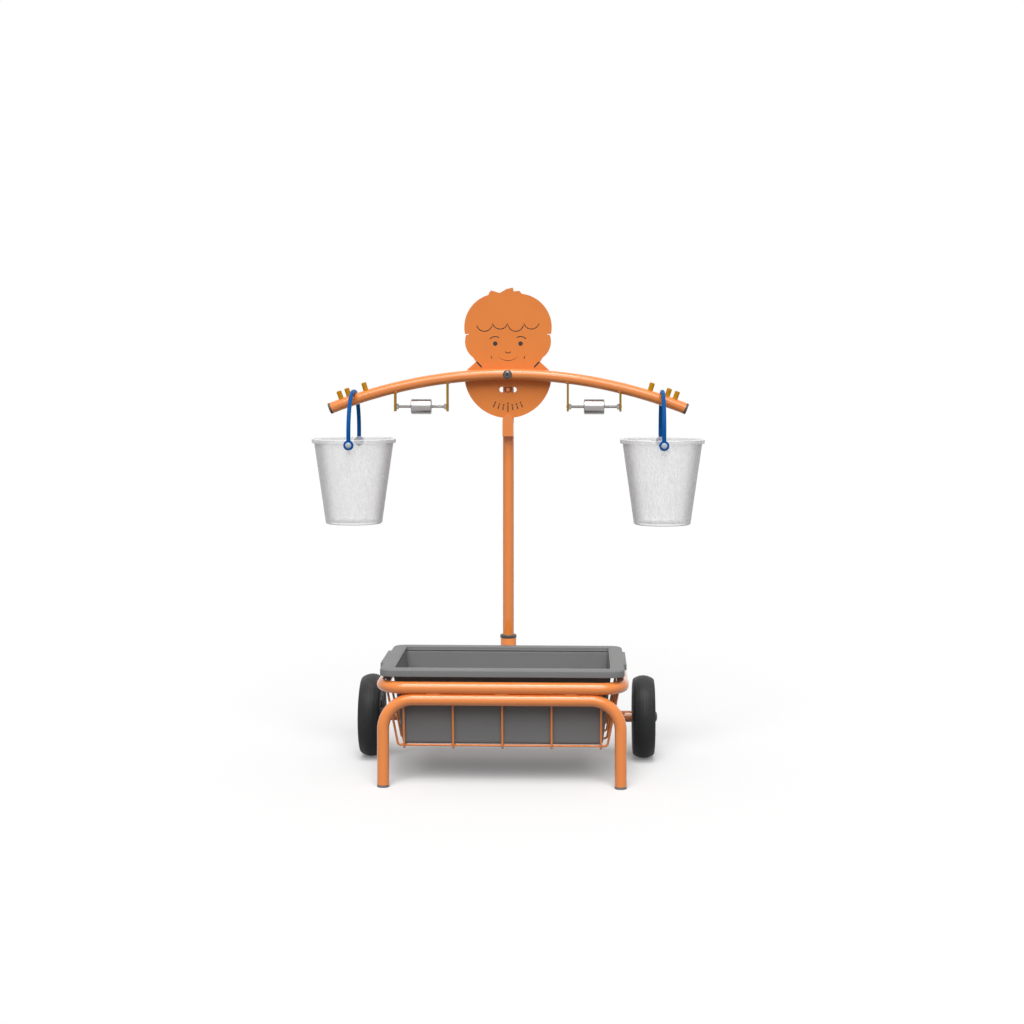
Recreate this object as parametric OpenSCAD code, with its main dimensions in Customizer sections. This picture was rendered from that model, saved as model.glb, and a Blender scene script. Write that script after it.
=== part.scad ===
/* [Frame tubes] */
// Outside diameter of the legs, ring, mast and beam tube
tube_d = 30; // [26:0.5:34]
// Wall of every round tube
tube_wall = 2; // [1.5:0.1:3]
// Outside diameter of the axle tube and its struts
axle_tube_d = 30; // [24:0.5:32]
// Diameter of the basket wire
wire_d = 6; // [4:0.5:8]

/* [Ring and leg hoop] */
// Outside width of the leg hoop
frame_w = 620; // [580:5:700]
// Reach of the ring beyond the leg hoop at each side
ring_over = 6; // [0:0.5:12]
// Outside depth of the ring
ring_depth = 420; // [390:5:480]
// Height of the ring's tube centre
ring_z = 248; // [235:1:290]
// Bend radius of the ring corners
ring_bend = 57; // [48:1:80]
// Bend radius of the leg hoop
hoop_bend = 75; // [60:1:95]
// Height of a foot cap below the leg tube
foot_h = 6.4; // [4:0.2:12]

/* [Tub] */
// Gap from the inside of the ring to the tub's ends
tub_gap_x = 14; // [8:0.5:20]
// Gap from the inside of the ring to the tub's front and back, on average
tub_gap_y = 15.5; // [12:0.5:22]
// Shift of the tub from the ring's middle to the front
tub_shift = 3.5; // [0:0.5:6]
// Top of the rim above the ring's tube centre
rim_over_ring = 46; // [36:1:60]
// Height of the rim's turned-down edge
rim_h = 18.5; // [12:0.5:24]
// Width of the rim from its edge to the tub's body
rim_flange = 33; // [26:1:38]
// Inset of the tub's bottom on each side
tub_taper = 19.5; // [14:0.5:30]
// Wall of the tub
tub_wall = 3; // [2:0.5:4]
// Radius of the tub's lower edges
tub_edge_r = 10; // [6:1:30]
// Reach of a tub handle beyond the rim
tub_grip_out = 6.5; // [4:0.5:10]
// Length of a tub handle
tub_grip_l = 196; // [120:2:240]

/* [Basket] */
// Distance from the basket's end to the first wire that runs front to back
wire_inset = 16; // [8:0.5:30]
// Height of the centre of the crossing wires' bottoms
cross_z = 94.5; // [90:0.5:110]
// Bend radius of the basket wires
wire_bend = 9; // [7:1:24]

/* [Wheels] */
// Diameter of a wheel
wheel_d = 218; // [200:2:240]
// Width of a tyre
tyre_w = 57; // [44:1:64]
// Rise of the tread's crown above its edges
crown_h = 10; // [4:0.5:14]
// Radius of the rim under the tyre
hub_r = 46; // [38:1:56]
// Diameter of the axle rod
axle_d = 12; // [10:0.5:16]
// Reach of the axle tube beyond the ring at each side
axle_over = 16; // [10:1:40]
// Diameter of an axle cap
axle_cap_d = 26; // [22:0.5:32]

/* [Mast] */
// Height of the beam's pivot above the ground
pivot_z = 1020.6; // [960:1:1080]
// Outside diameter of the mast's socket
socket_d = 42.4; // [40:0.1:48.3]
// Height of the socket's top
socket_top = 309; // [295:1:340]
// Length of the socket
socket_l = 118; // [90:1:140]
// Height of the collar's flange
collar_h = 9; // [6:0.5:14]
// Height of the mast above the pivot
mast_over = 26; // [20:1:40]

/* [Beam] */
// Radius of the beam's curve at the tube's centre
beam_r = 1280; // [1150:10:1500]
// Length of the tube beyond its last peg
beam_tip = 33; // [18:0.5:40]
// Thickness of an end cap
cap_t = 6.5; // [3:0.5:8]
// Length of the plug of a tube's cap
plug_l = 16; // [10:1:24]

/* [Pegs] */
// Diameter of a peg
peg_d = 13.5; // [9:0.5:15]
// Height of a peg above the tube
peg_h = 21; // [15:1:28]
// Distance along the beam from a handle to the peg on its inner side
peg_inside = 32; // [14:0.5:40]
// Distance along the beam from a handle to the peg on its outer side
peg_outside = 15.5; // [14:0.5:22]
// Spacing of the two pegs outside the handle
peg_pitch = 22; // [18:0.5:26]

/* [Counterweights] */
// Diameter of a weight
weight_d = 40.5; // [34:0.5:46]
// Length of a weight
weight_l = 54.5; // [44:0.5:70]
// Distance of the weights' middle from the pivot
weight_x = 230.5; // [220:0.5:240]
// Spacing of the two hangers of a weight
hanger_span = 140; // [136:1:150]
// Thickness of a hanger
hanger_t = 5.5; // [4:0.5:6]
// Width of a hanger
hanger_w = 20; // [16:1:26]
// Depth of the threaded rods below the pivot
rod_drop = 86; // [80:1:95]
// Diameter of a threaded rod
rod_d = 8; // [6:0.5:8]

/* [Head plate] */
// Thickness of the whole plate
plate_t = 12; // [9:0.5:15]
// Thickness of each coloured skin of the plate
skin_t = 1.5; // [1:0.1:2.5]
// Radius of the lower disc and of the crown
plate_r = 117; // [110:1:126]
// Gap between the beam and the plate
plate_gap = 5; // [3:0.5:8]
// Gap between the plate and the mast
mast_gap = 3; // [2:0.5:6]
// Length of the slot for the stop pin
slot_l = 46.6; // [44:0.1:56]
// Width of the slot for the stop pin
slot_w = 14.5; // [13.8:0.1:18]
// Diameter of the stop pin
pin_d = 10.7; // [8:0.1:11]
// Depth of the stop pin below the pivot
pin_drop = 42; // [38:0.5:44]

/* [Pointer] */
// Width of the pointer
pointer_w = 29; // [22:1:30]
// Overlap of the pointer's tip over the plate
pointer_lap = 9; // [5:0.5:12]
// Height of the pointer
pointer_h = 58; // [50:1:70]
// Thickness of the pointer
pointer_t = 4; // [3:0.5:5]

/* [Buckets] */
// Distance of a bucket's middle from the pivot
bucket_x = 412; // [405:1:418]
// Outside diameter of a bucket's wall at its top
bucket_top_d = 214; // [190:1:220]
// Reach of the rim beyond the wall
bucket_flange = 5.5; // [4:0.5:9]
// Diameter of a bucket's bottom
bucket_low_d = 150; // [120:1:170]
// Height of a bucket
bucket_h = 227.5; // [180:0.5:240]
// Height of the rim's lip
lip_h = 11.5; // [8:0.5:20]
// Wall of a bucket
bucket_wall = 2.2; // [1.6:0.1:3.2]
// Diameter of the handle's section
grip_d = 11; // [8:0.5:12]
// Height of the handle's top above its eyes
grip_h = 138; // [130:1:160]
// Length of the handle's straight top, which lies on the beam
grip_flat = 24; // [12:1:40]
// Diameter of the handle's eye
eye_d = 26.5; // [20:0.5:28]
// Diameter of the button in the eye
button_d = 15.5; // [13:0.5:19]

/* [Fits] */
// Radial clearance of a turning or sliding fit
run_fit = 0.05; // [0.02:0.01:0.1]
// Clearance between loose faces
loose = 0.3; // [0.2:0.05:0.6]
// Depth to which welded pieces bite into each other
weld = 0.5; // [0.3:0.1:0.8]

/* [Hidden] */
$fn = 64;

orange = [0.90, 0.50, 0.20];
dark_grey = [0.33, 0.32, 0.31];
mid_grey = [0.52, 0.52, 0.52];
black = [0.12, 0.12, 0.12];
ochre = [0.74, 0.56, 0.12];
steel = [0.68, 0.67, 0.66];
blue = [0.10, 0.35, 0.65];
frosted = [0.93, 0.93, 0.94, 0.75];

tube_r = tube_d / 2;
axle_tube_r = axle_tube_d / 2;
wire_r = wire_d / 2;
socket_r = socket_d / 2;

// Depth from the front tube's centre to the pieces behind it
ring_back = ring_depth - tube_d;
mast_back = ring_back + tube_r + socket_r - weld;
plate_back_face = mast_back - tube_r - mast_gap;
plate_face = plate_back_face - plate_t;
beam_back = plate_face - plate_gap - tube_r;
bucket_d = bucket_top_d + 2 * bucket_flange;
grip_gap = 0.5;
handle_r = (bucket_d + grip_d) / 2 + grip_gap;
eye_t = 8;
button_t = 2.3;
stud_d = button_d - 8;
bucket_reach = handle_r + eye_t / 2 + loose + button_t;

// The front tube's centre stands so that the whole depth is centred on Y = 0
front_y = tube_r - (tube_r + beam_back + bucket_reach) / 2;
back_y = front_y + ring_back;
mast_y = front_y + mast_back;
plate_y = front_y + plate_face;
beam_y = front_y + beam_back;
side_x = (frame_w - tube_d) / 2;
ring_x = side_x + ring_over;
hoop_z = ring_z - tube_d + weld;

// Tub, from its rim down
rim_top = ring_z + rim_over_ring;
tub_y = front_y + ring_back / 2 - tub_shift;
tub_hx = ring_x - tube_r - tub_gap_x;
tub_hy = ring_back / 2 - tube_r - tub_gap_y;
rim_w = 2 * (tub_hx + rim_flange);
rim_depth = 2 * (tub_hy + rim_flange);
tub_floor = cross_z + wire_r + loose;
rim_corner = 30;
rim_t = 4;
rim_step = 8;
mouth_out = 0.5;

// Basket, around the tub
wire_gap = 1;
end_gap = 4;
low_hx = tub_hx - tub_taper + 2 * wire_r + end_gap;
low_hy = tub_hy - tub_taper + wire_r + wire_gap;
long_pitch = (low_hx - wire_inset) / 2;
wire_tuck = 11;
wire_top = ring_z - sqrt(pow(tube_r + wire_r - weld, 2) - wire_tuck * wire_tuck);
long_z = cross_z - wire_d + weld;
wire_in = tube_r + wire_r - weld;
rear_lean = atan2(back_y - wire_in - tub_y - low_hy, ring_z - long_z);

// Wheels and axle
axle_tube_l = frame_w + 2 * (ring_over + axle_over);
axle_z = wheel_d / 2;
axle_y = tub_y + low_hy + (axle_z - long_z) * tan(rear_lean)
    + (wire_r + loose + axle_tube_r) / cos(rear_lean);
wheel_x = axle_tube_l / 2 + 2 + tyre_w / 2;
axle_end = wheel_x + tyre_w / 2 + 4;
bead_r = 14;
strut_x = 180;

// Mast, bolt and plate
mast_foot = socket_top - socket_l + 4;
mast_top = pivot_z + mast_over;
socket_bore = socket_d - 2 * tube_wall - 2;
lock_d = 8;
lock_z = socket_top - 45;
bolt_d = 10;
sleeve_d = 16;
slot_z = pin_drop - 1;
boss_x = 60;
boss_d = 16;
screw_d = 6;
pointer_top = -plate_r + pointer_lap;
drawn_r = 117;
drawing_scale = plate_r / drawn_r;
face_z = 95.6;
face_r = 106;

// Angles along the beam
function beam_angle(x, r) = asin(x / r);
hang_r = beam_r + tube_r + loose + grip_d / 2;
hang_angle = beam_angle(bucket_x, hang_r);
hang_z = pivot_z - beam_r + hang_r * cos(hang_angle);
peg_deg = 180 / PI / (beam_r + tube_r);
peg_in = hang_angle - peg_inside * peg_deg;
peg_out = hang_angle + peg_outside * peg_deg;
peg_far = peg_out + peg_pitch * peg_deg;
beam_half = peg_far + beam_tip * 180 / PI / beam_r;
eye_z = hang_z - grip_h;
eye_drop = 13;
bucket_rim_z = eye_z + eye_drop;
bucket_floor_z = bucket_rim_z - bucket_h;

// Counterweights
rod_z = pivot_z - rod_drop;
nut_h = 6.5;
nut_d = 13;

function heading(p, q) = atan2(q.y - p.y, q.x - p.x);
function wrap(a) = a > 180 ? a - 360 : a < -180 ? a + 360 : a;
function turn_at(pts, i) =
    wrap(heading(pts[i], pts[i + 1]) - heading(pts[i - 1], pts[i]));
function setback(pts, i, bend) =
    i == 0 || i == len(pts) - 1 ? 0 : bend * tan(abs(turn_at(pts, i)) / 2);
function both(v) = [for (s = [-1, 1]) s * v];

// Round section, hollow where a bore is given
module section(d, bore) {
    difference() {
        circle(d = d);
        if (bore > 0) circle(d = bore);
    }
}

// Bar or tube through points in the XY plane, with one bend radius
module bent_bar(pts, bend, d, bore = 0) {
    translate([pts[0].x, pts[0].y, 0])
        rotate([0, 0, heading(pts[0], pts[1])])
        bar_from(pts, 0, bend, d, bore);
}

// The bar from point i on, drawn along X, then the corner and what follows it
module bar_from(pts, i, bend, d, bore) {
    run = norm(pts[i + 1] - pts[i]) - setback(pts, i, bend) - setback(pts, i + 1, bend);
    rotate([0, 90, 0]) linear_extrude(run) section(d, bore);
    if (i + 2 < len(pts)) {
        turn = turn_at(pts, i + 1);
        centre = sign(turn) * bend;
        translate([run, centre, 0]) {
            rotate([0, 0, turn > 0 ? -90 : 90 + turn])
                rotate_extrude(angle = abs(turn))
                translate([bend, 0]) section(d, bore);
            rotate([0, 0, turn])
                translate([0, -centre, 0])
                bar_from(pts, i + 1, bend, d, bore);
        }
    }
}

// Places and headings of a wire's rings: its two ends and steps around each bend
function bend_rings(pts, i, bend, steps) =
    let (into = heading(pts[i - 1], pts[i]),
        turn = turn_at(pts, i),
        out = sign(turn) * bend,
        start = pts[i] - setback(pts, i, bend) * [cos(into), sin(into)],
        centre = start + out * [-sin(into), cos(into)])
    [for (k = [0 : steps])
        let (h = into + turn * k / steps)
        concat(centre + out * [sin(h), -cos(h)], h)];
function wire_rings(pts, bend, steps) =
    let (last = len(pts) - 1)
    concat([concat(pts[0], heading(pts[0], pts[1]))],
        [for (i = [1 : last - 1]) each bend_rings(pts, i, bend, steps)],
        [concat(pts[last], heading(pts[last - 1], pts[last]))]);

// Bent wire through points in the XY plane, as one swept surface
module bent_wire(pts, bend, d, sides = 10) {
    rings = wire_rings(pts, bend, 4);
    count = len(rings);
    points = [for (ring = rings, k = [0 : sides - 1])
        let (a = 360 * (k + 0.5) / sides, across = d / 2 * cos(a))
        [ring[0] - across * sin(ring[2]), ring[1] + across * cos(ring[2]),
            d / 2 * sin(a)]];
    walls = [for (i = [0 : count - 2], k = [0 : sides - 1])
        let (n = (k + 1) % sides, at = i * sides)
        each [[at + k, at + n, at + sides + k], [at + n, at + sides + n, at + sides + k]]];
    ends = [[for (k = [sides - 1 : -1 : 0]) k],
        [for (k = [0 : sides - 1]) (count - 1) * sides + k]];
    polyhedron(points, concat(walls, ends));
}

// Upright plane facing the viewer: drawn x and y become X and Z
module facing() {
    rotate([90, 0, 0]) children();
}

// Upright plane seen from the side: drawn x and y become Y and Z
module sideways() {
    rotate([90, 0, 90]) children();
}

// Cylinder along Y from y0 to y1 at x and z
module along_y(x, z, y0, y1, d) {
    translate([x, y1, z]) rotate([90, 0, 0]) cylinder(h = y1 - y0, d = d);
}

// Cylinder along X from x0 to x1 at y and z
module along_x(x0, x1, y, z, d) {
    translate([x0, y, z]) rotate([0, 90, 0]) cylinder(h = x1 - x0, d = d);
}

// Moves a piece to an angle along the beam, with Z square to the tube
module on_beam(angle) {
    translate([0, beam_y, pivot_z - beam_r])
        rotate([0, angle, 0])
        translate([0, 0, beam_r]) children();
}

// Solid or hollow curve of the beam
module beam_arc(d, bore, half) {
    translate([0, beam_y, pivot_z - beam_r])
        facing()
        rotate([0, 0, 90 - half])
        rotate_extrude(angle = 2 * half, $fn = 96)
        translate([beam_r, 0]) section(d, bore);
}

// Rectangle with rounded corners, centred
module round_rect(w, h, r) {
    square([w - 2 * r, h], center = true);
    square([w, h - 2 * r], center = true);
    for (x = both(w / 2 - r), y = both(h / 2 - r))
        translate([x, y]) circle(r = r);
}

// Plug and cover that close a tube's end, cover downwards from z = 0
module end_plug(cover) {
    translate([0, 0, -cover]) cylinder(h = cover, d = tube_d);
    cylinder(h = plug_l, d = tube_d - 2 * tube_wall - 2 * loose);
}

module leg_hoop() {
    color(orange)
    translate([0, front_y, 0])
    facing()
    bent_bar([[-side_x, foot_h], [-side_x, hoop_z], [side_x, hoop_z],
        [side_x, foot_h]], hoop_bend, tube_d, tube_d - 2 * tube_wall);
}

module foot_caps() {
    color(mid_grey)
    for (x = both(side_x))
        translate([x, front_y, foot_h]) end_plug(foot_h);
}

module ring_frame() {
    color(orange)
    translate([0, 0, ring_z])
    bent_bar([[0, front_y], [ring_x, front_y], [ring_x, back_y],
        [-ring_x, back_y], [-ring_x, front_y], [0, front_y]],
        ring_bend, tube_d, tube_d - 2 * tube_wall);
}

module basket_long_wires() {
    color(orange)
    for (i = [-2 : 2])
        translate([i * long_pitch, 0, 0])
            sideways()
            bent_wire([[front_y + wire_in, ring_z],
                [tub_y - low_hy, long_z], [tub_y + low_hy, long_z],
                [back_y - wire_in, ring_z]], wire_bend, wire_d);
}

module basket_cross_wires() {
    inner = low_hy - wire_d - 2;
    color(orange)
    for (i = [0 : 3])
        translate([0, tub_y - inner + i * 2 * inner / 3, 0])
            facing()
            bent_wire([[wire_tuck - ring_x, wire_top], [-low_hx, cross_z],
                [low_hx, cross_z], [ring_x - wire_tuck, wire_top]],
                wire_bend, wire_d);
}

module axle_struts() {
    lean = heading([back_y, ring_z], [axle_y, axle_z]);
    long = norm([back_y, ring_z] - [axle_y, axle_z]);
    color(orange)
    difference() {
        for (x = both(strut_x))
            translate([x, 0, 0])
                sideways()
                translate([back_y, ring_z, 0])
                rotate([0, 90, lean])
                linear_extrude(long) section(axle_tube_d - 6, axle_tube_d - 10);
        along_x(-side_x, side_x, back_y, ring_z, tube_d - 2 * weld);
        along_x(-side_x, side_x, axle_y, axle_z, axle_tube_d - 2 * weld);
    }
}

module axle_tube() {
    color(orange)
    translate([-axle_tube_l / 2, axle_y, axle_z])
        rotate([0, 90, 0])
        linear_extrude(axle_tube_l)
        section(axle_tube_d, axle_tube_d - 2 * tube_wall);
}

module axle_rod() {
    color(steel) {
        along_x(-axle_end, axle_end, axle_y, axle_z, axle_d);
        for (s = [-1, 1])
            translate([s * (axle_tube_l / 2 - 10), axle_y, axle_z])
                rotate([0, 90, 0])
                cylinder(h = 20, d = axle_tube_d - 2 * tube_wall - 2 * run_fit,
                    center = true);
    }
}

module axle_caps() {
    bore = axle_d + 2 * run_fit;
    color(dark_grey)
    for (s = [-1, 1])
        translate([s * (axle_end - 2 - loose), axle_y, axle_z])
            rotate([0, s * 90, 0])
            difference() {
                union() {
                    cylinder(h = 4, d = axle_cap_d);
                    translate([0, 0, 4])
                        cylinder(h = 3, d1 = axle_cap_d, d2 = axle_cap_d - 10);
                }
                translate([0, 0, -1]) cylinder(h = 3.2 + loose, d = bore);
            }
}

module socket_tube() {
    color(orange)
    difference() {
        translate([0, mast_y, socket_top - socket_l])
            cylinder(h = socket_l, d = socket_d);
        translate([0, mast_y, mast_foot])
            cylinder(h = socket_l, d = socket_bore);
        along_y(0, lock_z, mast_y, mast_y + socket_d, lock_d + 2 * run_fit);
    }
}

module socket_collar() {
    color(dark_grey)
    translate([0, mast_y, socket_top])
    difference() {
        union() {
            cylinder(h = collar_h, d = socket_d + 2);
            translate([0, 0, -30]) cylinder(h = 31, d = socket_bore - 2 * run_fit);
        }
        translate([0, 0, -31])
            cylinder(h = collar_h + 40, d = tube_d + 2 * run_fit);
    }
}

module lock_screw() {
    color(steel)
    translate([0, mast_y, lock_z])
    rotate([-90, 0, 0]) {
        translate([0, 0, tube_r + run_fit])
            cylinder(h = socket_r - tube_r + 1, d = lock_d);
        translate([0, 0, socket_r + 0.2]) cylinder(h = 5, d1 = 14, d2 = 10);
    }
}

module mast_tube() {
    color(orange)
    difference() {
        translate([0, mast_y, mast_foot])
            linear_extrude(mast_top - mast_foot)
            section(tube_d, tube_d - 2 * tube_wall);
        along_y(0, pivot_z, mast_y - tube_d, mast_y + tube_d,
            sleeve_d + 2 * run_fit);
        along_y(0, pivot_z - pin_drop, mast_y - tube_d, mast_y,
            pin_d + 2 * run_fit);
    }
}

module mast_cap() {
    color(dark_grey)
    translate([0, mast_y, mast_top]) {
        cylinder(h = 4, d = tube_d);
        translate([0, 0, -12])
            cylinder(h = 13, d = tube_d - 2 * tube_wall - 2 * loose);
    }
}

module mast_sleeve() {
    color(steel)
    difference() {
        along_y(0, pivot_z, mast_y - tube_r - mast_gap + loose,
            mast_y + tube_r + 1, sleeve_d);
        along_y(0, pivot_z, mast_y - tube_d, mast_y + tube_d,
            bolt_d + 2 * run_fit);
    }
}

module stop_pin() {
    front = plate_y - 3;
    color(orange) {
        along_y(0, pivot_z - pin_drop, front, mast_y - tube_r + 4, pin_d);
        translate([0, front, pivot_z - pin_drop])
            rotate([90, 0, 0]) cylinder(h = 1.5, d1 = pin_d, d2 = pin_d - 4);
    }
}

// Pointed arch of two arcs over a strip
module arch(w, h) {
    rise = w * 0.55;
    r = (w * w / 4 + rise * rise) / w;
    translate([-w / 2, 0]) square([w, h - rise]);
    translate([0, h - rise])
        intersection() {
            translate([w / 2 - r, 0]) circle(r = r);
            translate([r - w / 2, 0]) circle(r = r);
            translate([-w, -0.1]) square([2 * w, h]);
        }
}

module pointer() {
    face = plate_y - loose * 7;
    low = pivot_z + pointer_top - pointer_h;
    color(orange) {
        translate([0, face, low])
            facing() linear_extrude(pointer_t) arch(pointer_w, pointer_h);
        difference() {
            translate([-pointer_w / 2, face - 1, low])
                cube([pointer_w, mast_y - face, pointer_h - pointer_lap - 14]);
            translate([0, mast_y, low - 1])
                cylinder(h = pointer_h, r = tube_r - weld);
            translate([-pointer_w, mast_y - tube_r / 2, low - 1])
                cube([2 * pointer_w, tube_d, pointer_h]);
        }
    }
}

module pivot_bolt() {
    head = beam_y - tube_r - 1 - loose;
    color(steel)
    difference() {
        union() {
            along_y(0, pivot_z, head - 2, mast_y + tube_r + 12, bolt_d);
            along_y(0, pivot_z, head - 2, head, 24);
            translate([0, head - 2, pivot_z])
                rotate([90, 0, 0]) cylinder(h = 5.5, d1 = 22, d2 = 15);
        }
        translate([0, head - 4, pivot_z])
            rotate([90, 0, 0]) cylinder(h = 10, d = 7, $fn = 6);
    }
}

module pivot_nut() {
    color(steel)
    translate([0, mast_y + tube_r + 1 + run_fit, pivot_z])
    rotate([-90, 0, 0])
    difference() {
        union() {
            cylinder(h = 2, d = 22);
            translate([0, 0, 2]) cylinder(h = 8, d = 19.6, $fn = 6);
            translate([0, 0, 10]) cylinder(h = 4, d1 = 15, d2 = 8);
        }
        translate([0, 0, -1]) cylinder(h = 12.5, d = bolt_d + 2 * run_fit);
    }
}

// Rounded tray whose sides lean in, drawn with its top at z = 0
module tray(hx, hy, deep, inset, edge) {
    hull() {
        translate([0, 0, -0.5])
            linear_extrude(0.5) round_rect(2 * hx, 2 * hy, edge, $fn = 32);
        for (x = both(hx - inset - edge), y = both(hy - inset - edge))
            translate([x, y, edge - deep]) sphere(r = edge, $fn = 32);
    }
}

module tub() {
    mouth = [tub_hx + mouth_out, tub_hy + mouth_out];
    collar = [mouth.x + tub_wall, mouth.y + tub_wall];
    under = rim_top - rim_h;
    deep = rim_top - rim_t - tub_floor;
    color(mid_grey)
    translate([0, tub_y, 0])
    difference() {
        union() {
            translate([0, 0, rim_top - rim_t]) {
                linear_extrude(rim_t) round_rect(rim_w, rim_depth, rim_corner);
                tray(tub_hx, tub_hy, deep, tub_taper, tub_edge_r);
            }
            translate([0, 0, rim_top - rim_step - tub_wall])
                linear_extrude(rim_step + tub_wall)
                round_rect(2 * collar.x, 2 * collar.y, tub_edge_r + tub_wall);
            translate([0, 0, under])
                linear_extrude(rim_h)
                difference() {
                    round_rect(rim_w, rim_depth, rim_corner);
                    round_rect(rim_w - 2 * tub_wall, rim_depth - 2 * tub_wall,
                        rim_corner - tub_wall);
                }
            for (s = [-1, 1])
                translate([s * (rim_w + tub_grip_out) / 2, 0, under + 3])
                    linear_extrude(rim_h - 3)
                    round_rect(tub_grip_out + 2, tub_grip_l, 3);
        }
        translate([0, 0, rim_top - rim_step])
            linear_extrude(rim_step + 1)
            round_rect(2 * mouth.x, 2 * mouth.y, tub_edge_r);
        translate([0, 0, rim_top - rim_step])
            tray(tub_hx - tub_wall, tub_hy - tub_wall,
                deep - tub_wall + rim_t - rim_step, tub_taper, tub_edge_r - tub_wall);
    }
}

// Wheel section: x is the radius, y runs across the wheel
module tyre_section() {
    wall_r = hub_r + bead_r;
    edge_r = wheel_d / 2 - crown_h;
    crown_r = (tyre_w * tyre_w / 4 + crown_h * crown_h) / (2 * crown_h);
    translate([wall_r, -tyre_w / 2]) square([edge_r - wall_r, tyre_w]);
    intersection() {
        translate([edge_r - 1, -tyre_w / 2]) square([crown_h + 1, tyre_w]);
        translate([wheel_d / 2 - crown_r, 0]) circle(r = crown_r, $fn = 96);
    }
    translate([hub_r + run_fit, bead_r - tyre_w / 2])
        square([bead_r + 1, tyre_w - 2 * bead_r]);
    for (y = both(tyre_w / 2 - bead_r))
        translate([wall_r, y]) circle(r = bead_r - run_fit);
}

module tyre(s) {
    color(black)
    translate([s * wheel_x, axle_y, axle_z])
        rotate([0, 90, 0]) rotate_extrude($fn = 96) tyre_section();
}

module tyre_left() {
    tyre(-1);
}

module tyre_right() {
    tyre(1);
}

module rim(s) {
    bore = axle_d / 2 + run_fit;
    wide = tyre_w - 8;
    color(mid_grey)
    translate([s * wheel_x, axle_y, axle_z])
        rotate([0, 90, 0])
        difference() {
            rotate_extrude($fn = 96) {
                translate([bore, -tyre_w / 2]) square([12, tyre_w]);
                translate([bore + 6, -4]) square([hub_r - bore - 6, 8]);
                translate([hub_r - 4, -wide / 2]) square([4, wide]);
            }
            for (a = [0 : 60 : 300])
                rotate([0, 0, a])
                    translate([hub_r * 0.65, 0, 0])
                    cylinder(h = tyre_w, d = 9, center = true);
        }
}

module rim_left() {
    rim(-1);
}

module rim_right() {
    rim(1);
}

module beam_tube() {
    color(orange)
    difference() {
        beam_arc(tube_d, tube_d - 2 * tube_wall, beam_half);
        along_y(0, pivot_z, beam_y - tube_d, beam_y + tube_d,
            sleeve_d + 2 * run_fit);
        for (x = both(boss_x))
            along_y(x, pivot_z - boss_sag(), beam_y, beam_y + tube_d,
                boss_d + 2 * run_fit);
        for (s = [-1, 1], a = [peg_in, peg_out, peg_far])
            on_beam(s * a) cylinder(h = tube_d, d = peg_d + 2 * run_fit);
    }
}

function boss_sag() = beam_r - sqrt(beam_r * beam_r - boss_x * boss_x);

module beam_caps() {
    color(dark_grey)
    for (s = [-1, 1])
        on_beam(s * beam_half) rotate([0, -s * 90, 0]) end_plug(cap_t);
}

module beam_pegs() {
    low = tube_r - tube_wall;
    color(ochre)
    for (s = [-1, 1], a = [peg_in, peg_out, peg_far])
        on_beam(s * a) {
            translate([0, 0, low])
                cylinder(h = tube_wall + peg_h - peg_d / 2, d = peg_d);
            translate([0, 0, tube_r + peg_h - peg_d / 2]) sphere(d = peg_d);
        }
}

module beam_sleeve() {
    color(steel)
    difference() {
        along_y(0, pivot_z, beam_y - tube_r - 1, plate_y + plate_t, sleeve_d);
        along_y(0, pivot_z, beam_y - tube_d, mast_y, bolt_d + 2 * run_fit);
    }
}

// Outline of the head on its round base, with the pivot at 0, 0
module plate_outline() {
    scale(drawing_scale) head_outline();
}

// The outline as it is drawn, for a base of drawn_r
module head_outline() {
    crown_r = 90;
    hair_x = drawn_r - crown_r;
    hair_z = 126;
    ear = [61.4, 88];
    difference() {
        circle(r = drawn_r, $fn = 96);
        for (s = [-1, 1])
            polygon([[s * 140, 0], [s * (drawn_r + 1), 3], [s * 109, 12],
                [s * 87, 32.5], [s * 60, 50], [s * 60, 140], [s * 140, 140]]);
    }
    translate([0, face_z]) circle(r = face_r, $fn = 96);
    for (s = [-1, 1])
        translate([s * ear.x, ear.y])
            difference() {
                circle(r = 53.6);
                translate([-60, 18]) square([120, 60]);
            }
    difference() {
        translate([0, hair_z]) {
            for (x = both(hair_x)) translate([x, 0]) circle(r = crown_r, $fn = 96);
            square([2 * hair_x, 1.7 * crown_r], center = true);
            translate([0, crown_r])
                polygon([[60, -30], [36, 1], [31, 7], [15, 6], [13, 16], [-4, 12],
                    [-22, 1.5], [-40, 7], [-46, 8], [-51, 1], [-60, -30]]);
        }
        translate([-150, -50]) square([300, 158]);
    }
}

module slot_shape() {
    half = (slot_l - slot_w) / 2;
    translate([0, -slot_z]) {
        square([2 * half, slot_w], center = true);
        for (x = both(half)) translate([x, 0]) circle(d = slot_w);
    }
}

module plate_holes() {
    circle(d = sleeve_d + 2 * run_fit);
    for (x = both(boss_x))
        translate([x, -boss_sag()]) circle(d = screw_d + 2 * run_fit);
    slot_shape();
}

// Curved line: part of a ring of width w from angle a0 to a1
module arc_line(r, w, a0, a1) {
    far = 2 * r + 2 * w;
    intersection() {
        difference() {
            circle(r = r + w / 2);
            circle(r = r - w / 2);
        }
        polygon([[0, 0], far * [cos(a0), sin(a0)],
            far * [cos((a0 + a1) / 2), sin((a0 + a1) / 2)],
            far * [cos(a1), sin(a1)]]);
    }
}

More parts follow.
